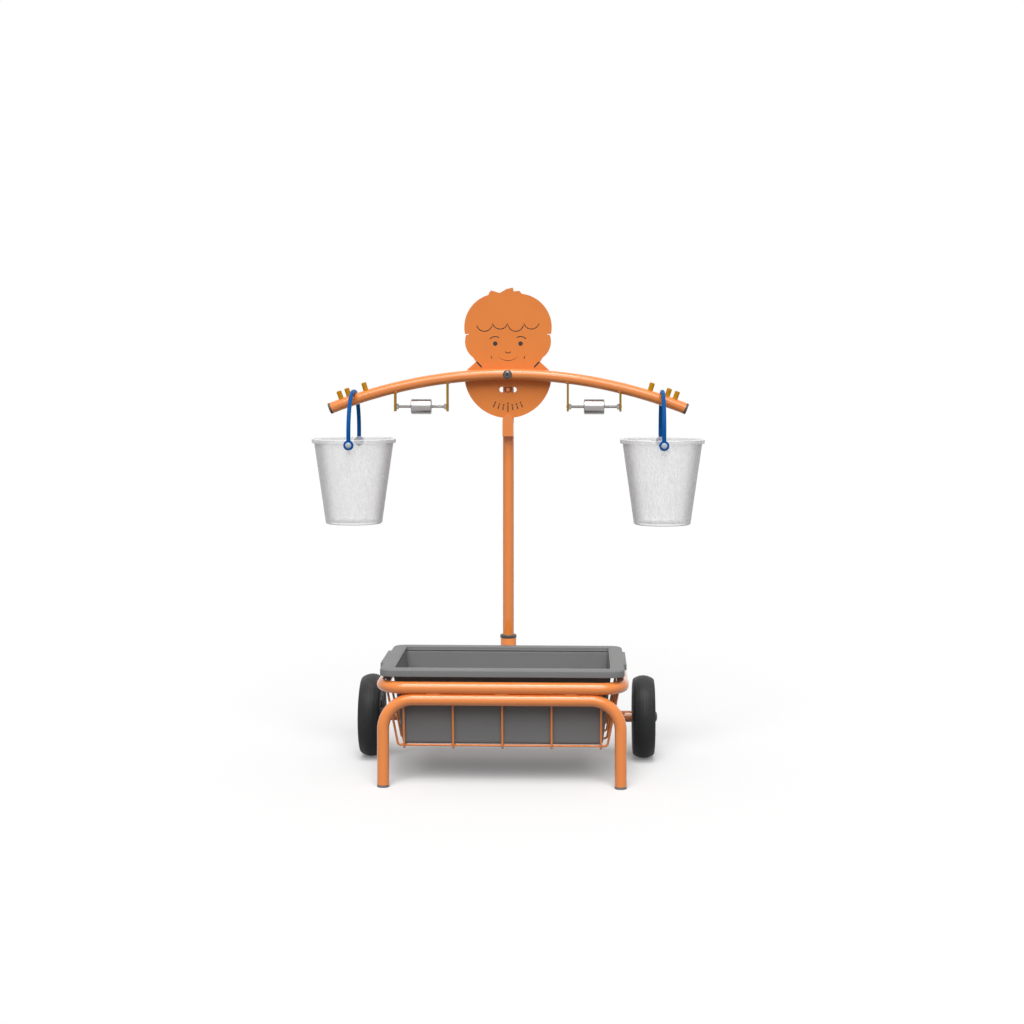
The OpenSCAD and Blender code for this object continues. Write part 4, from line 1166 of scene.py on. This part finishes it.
@dataclass
class Mast(Assembly):
    """Post in its socket, with the collar, the lock screw, the pointer, the stop pin and the pivot."""

    tube_r: float = 15 * MM
    plug_r: float = 12.5 * MM
    collar_r: float = 22.2 * MM
    collar_h: float = 9 * MM
    sleeve_r: float = 18.1 * MM
    bolt_r: float = 5 * MM
    washer_t: float = 2 * MM
    y: float = field(init=False)
    top: float = field(init=False)

    def build(self) -> None:
        """Builds the small parts and dresses the tubes."""
        self.y, self.top = middle("mast_tube")[1], span("mast_tube")[1][2]
        self.soften(ORANGE_PAINT, 0.6 * MM, "socket_tube", "pointer", "stop_pin")
        self.keep(ORANGE_PAINT, "mast_tube")
        self.keep(ZINC, "mast_sleeve")
        self.place("mast_collar", self.collar(), DARK_PLASTIC, "socket_collar")
        self.place("mast_top_cap", self.cap(), DARK_PLASTIC, "mast_cap")
        self.place("mast_lock_screw", self.screw(), ZINC, "lock_screw")
        self.place("pivot_screw", self.pivot(), BOLT_GREY, "pivot_bolt")
        self.place("pivot_cap_nut", self.cap_nut(), ZINC, "pivot_nut")

    def collar(self) -> Shell:
        """Ring with a rounded outer edge and a sleeve down into the socket."""
        low, high = (corner[2] for corner in span("socket_collar"))
        base, r, sleeve, bore = high - self.collar_h, self.collar_r, self.sleeve_r, self.tube_r + 0.05 * MM
        lead, lip = 1 * MM, 1.2 * MM
        line = [[bore, low], [sleeve - 0.5 * MM, low], [sleeve, low + lead], [sleeve, base],
                [r, base], [r, high], [bore + lip, high], [bore, high - lip]]
        bends = np.array([0.1, 0.2, 0.4, 0.2, 1.2, 3.2, 0.4, 0.4]) * MM
        return Shell().add(lathe(line, bends, 6, [0, self.y, 0], closed=True), closed_rows=True)

    def cap(self) -> Shell:
        """Domed cap of the mast: height 1 mm + 3 mm * sqrt(1 - (r / radius) ** 2) over a short plug."""
        plug_z, r, plug = span("mast_cap")[0][2], self.tube_r, self.plug_r
        a = np.linspace(0, np.pi / 2, 12)
        radius = np.concatenate([[0, plug, plug, r], r * np.cos(a)])
        z = np.concatenate([[plug_z, plug_z, self.top, self.top], self.top + (1 + 3 * np.sin(a)) * MM])
        return Shell().add(turned(radius, z, [0, self.y, 0]))

    def screw(self) -> Shell:
        """Socket screw in the back of the mast's socket."""
        low, high = span("lock_screw")
        z, head, shank_r = (low[2] + high[2]) / 2, 5 * MM, 4 * MM
        shaft = Shell().add(turned([shank_r] * 2, [low[1], high[1] - head], [0, 0, z], Axis.Y, 32))
        return shaft.add(socket_head(7 * MM, head, 5 * MM, np.array([0, high[1] - head, z]), Axis.Y))

    def washer(self, bore: float, outer: float, seat: Array, sign: int = 1) -> Array:
        """Flat ring with soft edges, from its seat along Y."""
        line = [[bore, 0], [outer, 0], [outer, self.washer_t], [bore, self.washer_t]]
        return lathe(line, 0.4 * MM, 3, seat, Axis.Y, closed=True, sign=sign)

    def pivot(self) -> Shell:
        """Bolt of the beam: shank, washer and domed head with a socket, facing the front."""
        low, high = span("pivot_bolt")
        z, r = (low[2] + high[2]) / 2, self.bolt_r
        seat = low[1] + 7.5 * MM
        shank = [seat - 1 * MM, high[1] - 2 * MM]
        shell = Shell().add(turned([r, r], shank, [0, 0, z], Axis.Y, 32))
        shell.add(self.washer(r, 12 * MM, [0, seat, z], -1), closed_rows=True)
        head_at = np.array([0, seat - self.washer_t, z])
        return shell.add(socket_head(11 * MM, 5.5 * MM, 7 * MM, head_at, Axis.Y, -1))

    def cap_nut(self) -> Shell:
        """Domed nut with a washer behind the mast."""
        y, z = span("pivot_nut")[0][1], middle("pivot_nut")[2]
        flats, height, bore, dome_r, dome_z = 17 * MM, 8 * MM, 2 * self.bolt_r + 0.1 * MM, 7.5 * MM, 9.5 * MM
        shell = Shell().add(self.washer(bore / 2 + 0.05 * MM, 11 * MM, [0, y, z]), closed_rows=True)
        hexagon_at = np.array([0, y + self.washer_t + height / 2, z])
        shell.add(nut(flats, height, bore, hexagon_at, Axis.Y), closed_rows=True)
        a = np.linspace(0, np.pi / 2, 10)
        r = np.concatenate([[0, dome_r], dome_r * np.cos(a)])
        h = np.concatenate([[9 * MM, 9 * MM], dome_z + 4.5 * MM * np.sin(a)])
        return shell.add(turned(r, h, [0, y, z], Axis.Y))


@dataclass
class Balance(Assembly):
    """Curved beam with its pegs and caps, the head plate and the rods of the counterweights.

    The pegs' places are measured along the beam's top from the middle of a hanging handle.
    """

    body: str = "balance"
    tube_r: float = 15 * MM
    curve_r: float = 1280 * MM
    peg_r: float = 6.75 * MM
    peg_h: float = 21 * MM
    peg_places: tuple[float, ...] = (-32 * MM, 15.5 * MM, 37.5 * MM)
    grip_rise: float = 5.8 * MM
    end_past_peg: float = 33 * MM
    cap_plug: tuple[float, float] = (12.7 * MM, 10 * MM)
    cap_t: float = 6.5 * MM
    rod_r: float = 4 * MM
    thread: tuple[float, float] = (1.25 * MM, 0.6 * MM)
    nut_h: float = 6.5 * MM
    hanger: tuple[float, float] = (5.5 * MM, 20 * MM)
    screw_r: float = 6.5 * MM
    y: float = field(init=False)
    pivot_z: float = field(init=False)
    weight_x: float = field(init=False)

    def build(self) -> None:
        """Builds the pegs, caps, rods, nuts and screws, and dresses the tube and the plate."""
        self.y, self.pivot_z = middle("beam_tube")[1], middle("pivot_bolt")[2]
        self.weight_x = middle("weight_right")[0]
        self.keep(ORANGE_PAINT, "beam_tube", "plate_bosses")
        self.keep(ZINC, "beam_sleeve")
        self.soften(SKIN_ORANGE, 0.45 * MM, "plate_front", "plate_back")
        self.keep(CORE_BLACK, "plate_core")
        self.soften(OLIVE_PAINT, 0.6 * MM, "hangers")
        self.place("beam_end_caps", self.caps(), DARK_PLASTIC, "beam_caps")
        self.place("bucket_pegs", self.pegs(), OCHRE_PAINT, "beam_pegs", crease=60)
        self.place("beam_welds", self.welds(), ORANGE_PAINT)
        self.place("counterweight_rods", self.rods(), ZINC, "weight_rods", crease=80)
        self.place("counterweight_nuts", self.nuts(), ZINC, "rod_nuts", crease=20)
        self.place("plate_back_screws", self.screws(), ZINC, "plate_screws")

    def on_beam(self, grid: Array, angle: float) -> Array:
        """A grid drawn at the tube's middle with Z square to it, turned to an angle along the beam.

        Point (x, y, z) goes to the curve's centre + (x cos a + (z + R) sin a, y, (z + R) cos a - x sin a).
        """
        x, y, z = grid[..., 0], grid[..., 1], grid[..., 2] + self.curve_r
        c, s = math.cos(angle), math.sin(angle)
        out = np.stack([x * c + z * s, y, z * c - x * s], -1)
        return out + [0, self.y, self.pivot_z - self.curve_r]

    def peg_angles(self) -> list[float]:
        """Angles of the three pegs on the right half: the handle's, plus place / (curve_r + tube_r)."""
        top_r = self.curve_r + self.tube_r
        hang = math.asin(middle("handle_right")[0] / (top_r + self.grip_rise))
        return [hang + place / top_r for place in self.peg_places]

    def pegs(self) -> Shell:
        """Round pegs with a thin weld at the foot and a rounded edge on top."""
        r, foot, top = self.peg_r, self.tube_r, self.tube_r + self.peg_h
        a = np.linspace(0, np.pi / 2, 9)
        e = 0.4 * r
        weld = np.array([[0, -2], [1.2, -0.6], [0.6, 0.6], [0.1, 1.4], [0, 2]]) * MM + [r, foot]
        radius = np.concatenate([weld[:, 0], r - e + e * np.cos(a), [0]])
        z = np.concatenate([weld[:, 1], top - e - 0.3 * MM + e * np.sin(a), [top]])
        grid = turned(radius, z, np.zeros(3), count=40)
        shell = Shell()
        for angle in self.peg_angles():
            for s in (-1, 1):
                shell.add(self.on_beam(grid, s * angle))
        return shell

    def caps(self) -> Shell:
        """Plugs that close the tube, with a rounded edge."""
        end = self.peg_angles()[2] + self.end_past_peg / self.curve_r
        r, (plug_r, plug_l), t = self.tube_r, self.cap_plug, self.cap_t
        line = [[0, -plug_l], [plug_r, -plug_l], [plug_r, 0], [r, 0], [r, t], [0, t]]
        bends = np.array([0.5, 0.2, 0.2, 1.6]) * MM
        shell = Shell()
        for s in (-1, 1):
            shell.add(self.on_beam(lathe(line, bends, 6, np.zeros(3), Axis.X, sign=s), s * end))
        return shell

    def hanger_xs(self) -> list[float]:
        """Places of the four hangers, the outer and the inner one of each weight."""
        outer = span("hangers")[1][0] - self.hanger[0] / 2
        return [s * x for s in (-1, 1) for x in (outer, 2 * self.weight_x - outer)]

    def welds(self) -> Shell:
        """Beads where the hangers meet the beam, drawn on the tube as it lies there."""
        shell = Shell()
        wide, deep = (size / 2 + 0.3 * MM for size in self.hanger)
        loop = stacked([wide], [deep], [1 * MM], [0], np.zeros(3), 6)[0, :, :2]
        dense = np.linspace(0, 1, 6, endpoint=False)[None, :, None]
        outline = (loop[:, None] * (1 - dense) + np.roll(loop, -1, 0)[:, None] * dense).reshape(-1, 2)
        grid = saddle(np.zeros(3), np.array([0, 0, -1.0]), outline, self.tube_r, 1.4 * MM)
        for x in self.hanger_xs():
            shell.add(self.on_beam(grid, math.asin(x / self.curve_r)), closed_rows=True)
        return shell

    def rods(self) -> Shell:
        """The two threaded rods."""
        low, high = span("weight_rods")
        length = high[0] - low[0] - 2 * self.weight_x
        shell = Shell()
        for s in (-1, 1):
            centre = np.array([s * self.weight_x, self.y, (low[2] + high[2]) / 2])
            shell.add(threaded(self.rod_r, length, *self.thread, centre, Axis.X))
        return shell

    def nuts(self) -> Shell:
        """Nuts on the inner faces of the hangers."""
        z, height, flats = middle("rod_nuts")[2], self.nut_h, 13 * MM
        outer = span("rod_nuts")[1][0] - height / 2
        shell = Shell()
        for s in (-1, 1):
            for x in (outer, 2 * self.weight_x - outer):
                centre = np.array([s * x, self.y, z])
                shell.add(nut(flats, height, 2 * self.rod_r, centre, Axis.X), closed_rows=True)
        return shell

    def screws(self) -> Shell:
        """Screws through the plate's back into its bosses."""
        low, high = span("plate_screws")
        z, back, head_r = (low[2] + high[2]) / 2, span("plate_back")[1][1], self.screw_r
        shell = Shell()
        for x in (low[0] + head_r, high[0] - head_r):
            shell.add(turned([3 * MM] * 2, [low[1], back], [x, 0, z], Axis.Y, 24))
            shell.add(socket_head(head_r, 4 * MM, 4 * MM, np.array([x, back, z]), Axis.Y))
        return shell


@dataclass
class Counterweight(Assembly):
    """Steel cylinder on a threaded rod, with chamfered ends."""

    side: Side = Side.LEFT
    edge: float = 2 * MM
    bore: float = 4.05 * MM

    def build(self) -> None:
        """Builds one weight as a turned tube."""
        self.body = "weight_" + self.side.tag
        low, high = span(self.body)
        r, half = (high[2] - low[2]) / 2, (high[0] - low[0]) / 2
        e, bore, lead = self.edge, self.bore, 1 * MM
        line = mirrored([[r, half - e], [r - e, half], [bore + lead, half], [bore, half - lead]])
        grid = lathe(line, 0.5 * MM, 4, (low + high) / 2, Axis.X, 96, closed=True)
        self.place("counterweight_" + self.side.tag, Shell().add(grid, closed_rows=True), ZINC, self.body)


@dataclass
class Bucket(Assembly):
    """Frosted bucket with its buttons, and the blue handle that hangs on the beam."""

    side: Side = Side.LEFT
    rim_r: float = 112.5 * MM
    top_r: float = 107 * MM
    low_r: float = 75 * MM
    wall: float = 2.2 * MM
    lip: float = 11.5 * MM
    foot_w: float = 8 * MM
    foot_h: float = 4 * MM
    grip_r: float = 5.5 * MM
    grip_top: float = 24 * MM
    eye_r: float = 13.25 * MM
    eye_t: float = 8 * MM
    thin_over: float = 30 * MM
    button_r: float = 7.75 * MM
    stud_r: float = 3.75 * MM
    centre: Array = field(init=False)
    floor: float = field(init=False)
    top: float = field(init=False)
    eye_z: float = field(init=False)
    reach: float = field(init=False)

    def build(self) -> None:
        """Builds the bucket, its buttons and its handle."""
        tag = self.side.tag
        low, high = span("bucket_" + tag)
        self.centre = (low + high) / 2 * [1, 1, 0]
        self.floor, self.top = low[2], high[2]
        eye_low, eye_high = span("buttons_" + tag)
        self.eye_z, self.reach = (eye_low[2] + eye_high[2]) / 2, (eye_high[1] - eye_low[1]) / 2
        self.body = "bucket_" + tag
        self.place("weighing_bucket_" + tag, self.bowl(), FROSTED, "bucket_" + tag, crease=50)
        self.place("handle_buttons_" + tag, self.buttons(), BUTTON_GREY, "buttons_" + tag)
        self.body = "handle_" + tag
        self.place("bucket_handle_" + tag, self.handle(), BLUE_PLASTIC, "handle_" + tag, crease=50)

    def bowl(self) -> Shell:
        """Wall, turned-over lip and raised floor, as one turned profile."""
        w, z0, z1 = self.wall, self.floor, self.top
        r0, r1, rim = self.low_r, self.top_r, self.rim_r
        foot, floor = r0 - self.foot_w, z0 + self.foot_h
        lip, under = z1 - self.lip, z1 - w - 1 * MM
        line = [[0, floor + w], [r0 - w - 3 * MM, floor + w], [r0 - w, floor + w + 4 * MM],
                [r1 - w, z1 - 4 * MM], [r1, z1], [rim, z1], [rim, lip], [rim - w, lip], [rim - w, under],
                [r1, under], [r0, z0], [foot, z0], [foot, floor], [0, floor]]
        bends = np.array([2.5, 5, 4, 1.6, 2.4, 0.8, 0.8, 1.5, 1.5, 4.5, 1, 1.5]) * MM
        return Shell().add(lathe(line, bends, 6, self.centre, count=160))

    def buttons(self) -> Shell:
        """Domed buttons outside the eyes, on pins that end in a flat head inside the wall."""
        r, out, stud = self.button_r, self.reach, self.stud_r
        inside = self.top_r - self.wall - 5 * MM
        pin_head, seat, dome_h, flat_r = r - 2 * MM, out - 2.3 * MM, 1.2 * MM, r - 1.5 * MM
        a = np.linspace(0, np.pi / 2, 8)
        radius = np.concatenate([[0, pin_head, pin_head, stud, stud, r - 0.3 * MM, r], flat_r * np.cos(a)])
        head = [inside - 1 * MM, inside - 1 * MM, inside + 1 * MM, inside + 1 * MM]
        pin = head + [seat, seat, seat + 0.5 * MM]
        place = np.concatenate([pin, out + dome_h * (np.sin(a) - 1)])
        shell = Shell()
        for s in (-1, 1):
            shell.add(turned(radius, s * place, self.centre + [0, 0, self.eye_z], Axis.Y, 48))
        return shell

    def handle(self) -> Shell:
        """Round bar bent over the beam, with an eye at each end.

        Towards the eyes the bar thins across to 0.76 + 0.24 * sqrt(height over the eyes / thin_over).
        """
        low, high = span("handle_" + self.side.tag)
        top, r = high[2] - self.grip_r, (high[1] - low[1]) / 2 - self.grip_r
        y, start = self.centre[1], self.eye_z + 8 * MM
        corners = [[y - r, start], [y - r, top], [y + r, top], [y + r, start]]
        flat, way = rounded(corners, r - self.grip_top / 2, 40)
        path, tangent = np.insert(flat, 0, self.centre[0], axis=1), np.insert(way, 0, 0.0, axis=1)
        bar = swept(path, tangent, np.array([1.0, 0, 0]), circle(self.grip_r, 24))
        share = np.clip((path[:, 2] - self.eye_z) / self.thin_over, 0, 1)
        thin = 0.76 + 0.24 * share**0.5
        bar[..., 1] = path[:, None, 1] + (bar[..., 1] - path[:, None, 1]) * thin[:, None]
        shell = Shell().add(bar)
        hole, half = self.stud_r + 0.05 * MM, self.eye_t / 2
        line, bends = mirrored([[self.eye_r, half], [hole, half]]), np.array([1.4, 0.3, 0.3, 1.4]) * MM
        for s in (-1, 1):
            centre = self.centre + [0, s * r, self.eye_z]
            shell.add(lathe(line, bends, 5, centre, Axis.Y, 56, closed=True), closed_rows=True)
        return shell


@dataclass(frozen=True)
class SoftLamp:
    """Wide soft light far away, from a disc in the sky that nobody sees directly."""

    name: str
    power: float
    wide: float
    height: float

    def build(self) -> None:
        """Hangs the lamp in front of the cart, height degrees over the horizon and wide degrees across."""
        light = bpy.data.lights.new(self.name, "SUN")
        light.energy, light.angle = self.power, math.radians(self.wide)
        lamp = bpy.data.objects.new(self.name, light)
        lamp.rotation_euler = (math.radians(90 - self.height), 0, 0)
        bpy.context.scene.collection.objects.link(lamp)


@dataclass(frozen=True)
class Studio:
    """Floor, sky, soft lamps and camera.

    The floor's colour is floor_seen where it shows and floor_bounce for the light that it throws back.
    """

    place: tuple[float, float, float] = (0.198, -4.877, 1.091)
    yaw: float = 2.13
    pitch: float = -1.63
    lens: float = 66.1
    sensor: float = 36.0
    shift_y: float = -0.1079
    clip: tuple[float, float] = (0.1, 100.0)
    floor_half: float = 40.0
    floor_seen: float = 0.725
    floor_glow: float = 0.15
    floor_bounce: float = 0.18
    sky_light: float = 0.38
    lamps: tuple[SoftLamp, ...] = (SoftLamp("top_lamp", 0.95, 20, 70), SoftLamp("front_lamp", 2.25, 46, 46))

    def build(self) -> None:
        """Makes the stage and sets the scene's camera."""
        self.floor()
        self.sky()
        for lamp in self.lamps:
            lamp.build()
        self.camera()
        bpy.context.scene.view_settings.view_transform = "Standard"

    def seen(self, graph: Graph) -> bpy.types.NodeSocket:
        """One for rays that show the surroundings: from the camera, in gloss and through clear plastic."""
        rays = graph.add("LightPath").outputs
        shown = graph.math("MAXIMUM", rays["Is Glossy Ray"], rays["Is Transmission Ray"])
        return graph.math("MAXIMUM", rays["Is Camera Ray"], shown)

    def floor(self) -> None:
        """Pale floor that takes the shadow and glows a little where it shows."""
        mesh = bpy.data.meshes.new("floor")
        h = self.floor_half
        mesh.from_pydata([(-h, -h, 0), (h, -h, 0), (h, h, 0), (-h, h, 0)], [], [(0, 1, 2, 3)])
        floor = bpy.data.objects.new("floor", mesh)
        bpy.context.scene.collection.objects.link(floor)
        paint = bpy.data.materials.new("pale_floor")
        paint.use_nodes = True
        paint.node_tree.nodes.clear()
        graph = Graph(paint.node_tree)
        seen = self.seen(graph)
        grey, pale = ((value, value, value, 1.0) for value in (self.floor_bounce, self.floor_seen))
        plain = graph.add("BsdfDiffuse", {"Color": graph.mix(seen, grey, pale)}).outputs[0]
        strength = graph.math("MULTIPLY", seen, self.floor_glow)
        glow = graph.add("Emission", {"Color": (1, 1, 1, 1), "Strength": strength}).outputs[0]
        both = graph.add("AddShader", {0: plain, 1: glow}).outputs[0]
        graph.add("OutputMaterial", {"Surface": both})
        mesh.materials.append(paint)

    def sky(self) -> None:
        """White where it shows, and a plain light from all around on the cart."""
        world = bpy.data.worlds.new("studio_sky")
        world.use_nodes = True
        world.node_tree.nodes.clear()
        graph = Graph(world.node_tree)
        light = graph.remap(self.seen(graph), 0.0, 1.0, self.sky_light, 1.0)
        shade = graph.add("Background", {"Color": (1, 1, 1, 1), "Strength": light})
        graph.add("OutputWorld", {"Surface": shade.outputs[0]})
        bpy.context.scene.world = world

    def camera(self) -> None:
        """Camera at the place and angle of the photograph's."""
        lens = bpy.data.cameras.new("camera")
        lens.lens, lens.sensor_width, lens.shift_y = self.lens, self.sensor, self.shift_y
        lens.clip_start, lens.clip_end = self.clip
        camera = bpy.data.objects.new("camera", lens)
        camera.location = self.place
        camera.rotation_euler = (math.radians(90 + self.pitch), 0, math.radians(self.yaw))
        bpy.context.scene.collection.objects.link(camera)
        bpy.context.scene.camera = camera


def main() -> None:
    """Builds the stage and every sub-assembly in order, and reports them."""
    logging.basicConfig(level=logging.INFO, format="%(name)s: %(message)s")
    Studio().build()
    parts: list[Assembly] = [TubeFrame(), WireBasket(), Axle(), Mast(), Tub(), Balance()]
    for side in Side:
        parts += [Wheel(side=side), Counterweight(side=side), Bucket(side=side)]
    for part in parts:
        part.build()
        LOG.info("%s done", type(part).__name__)


if __name__ == "__main__":
    main()
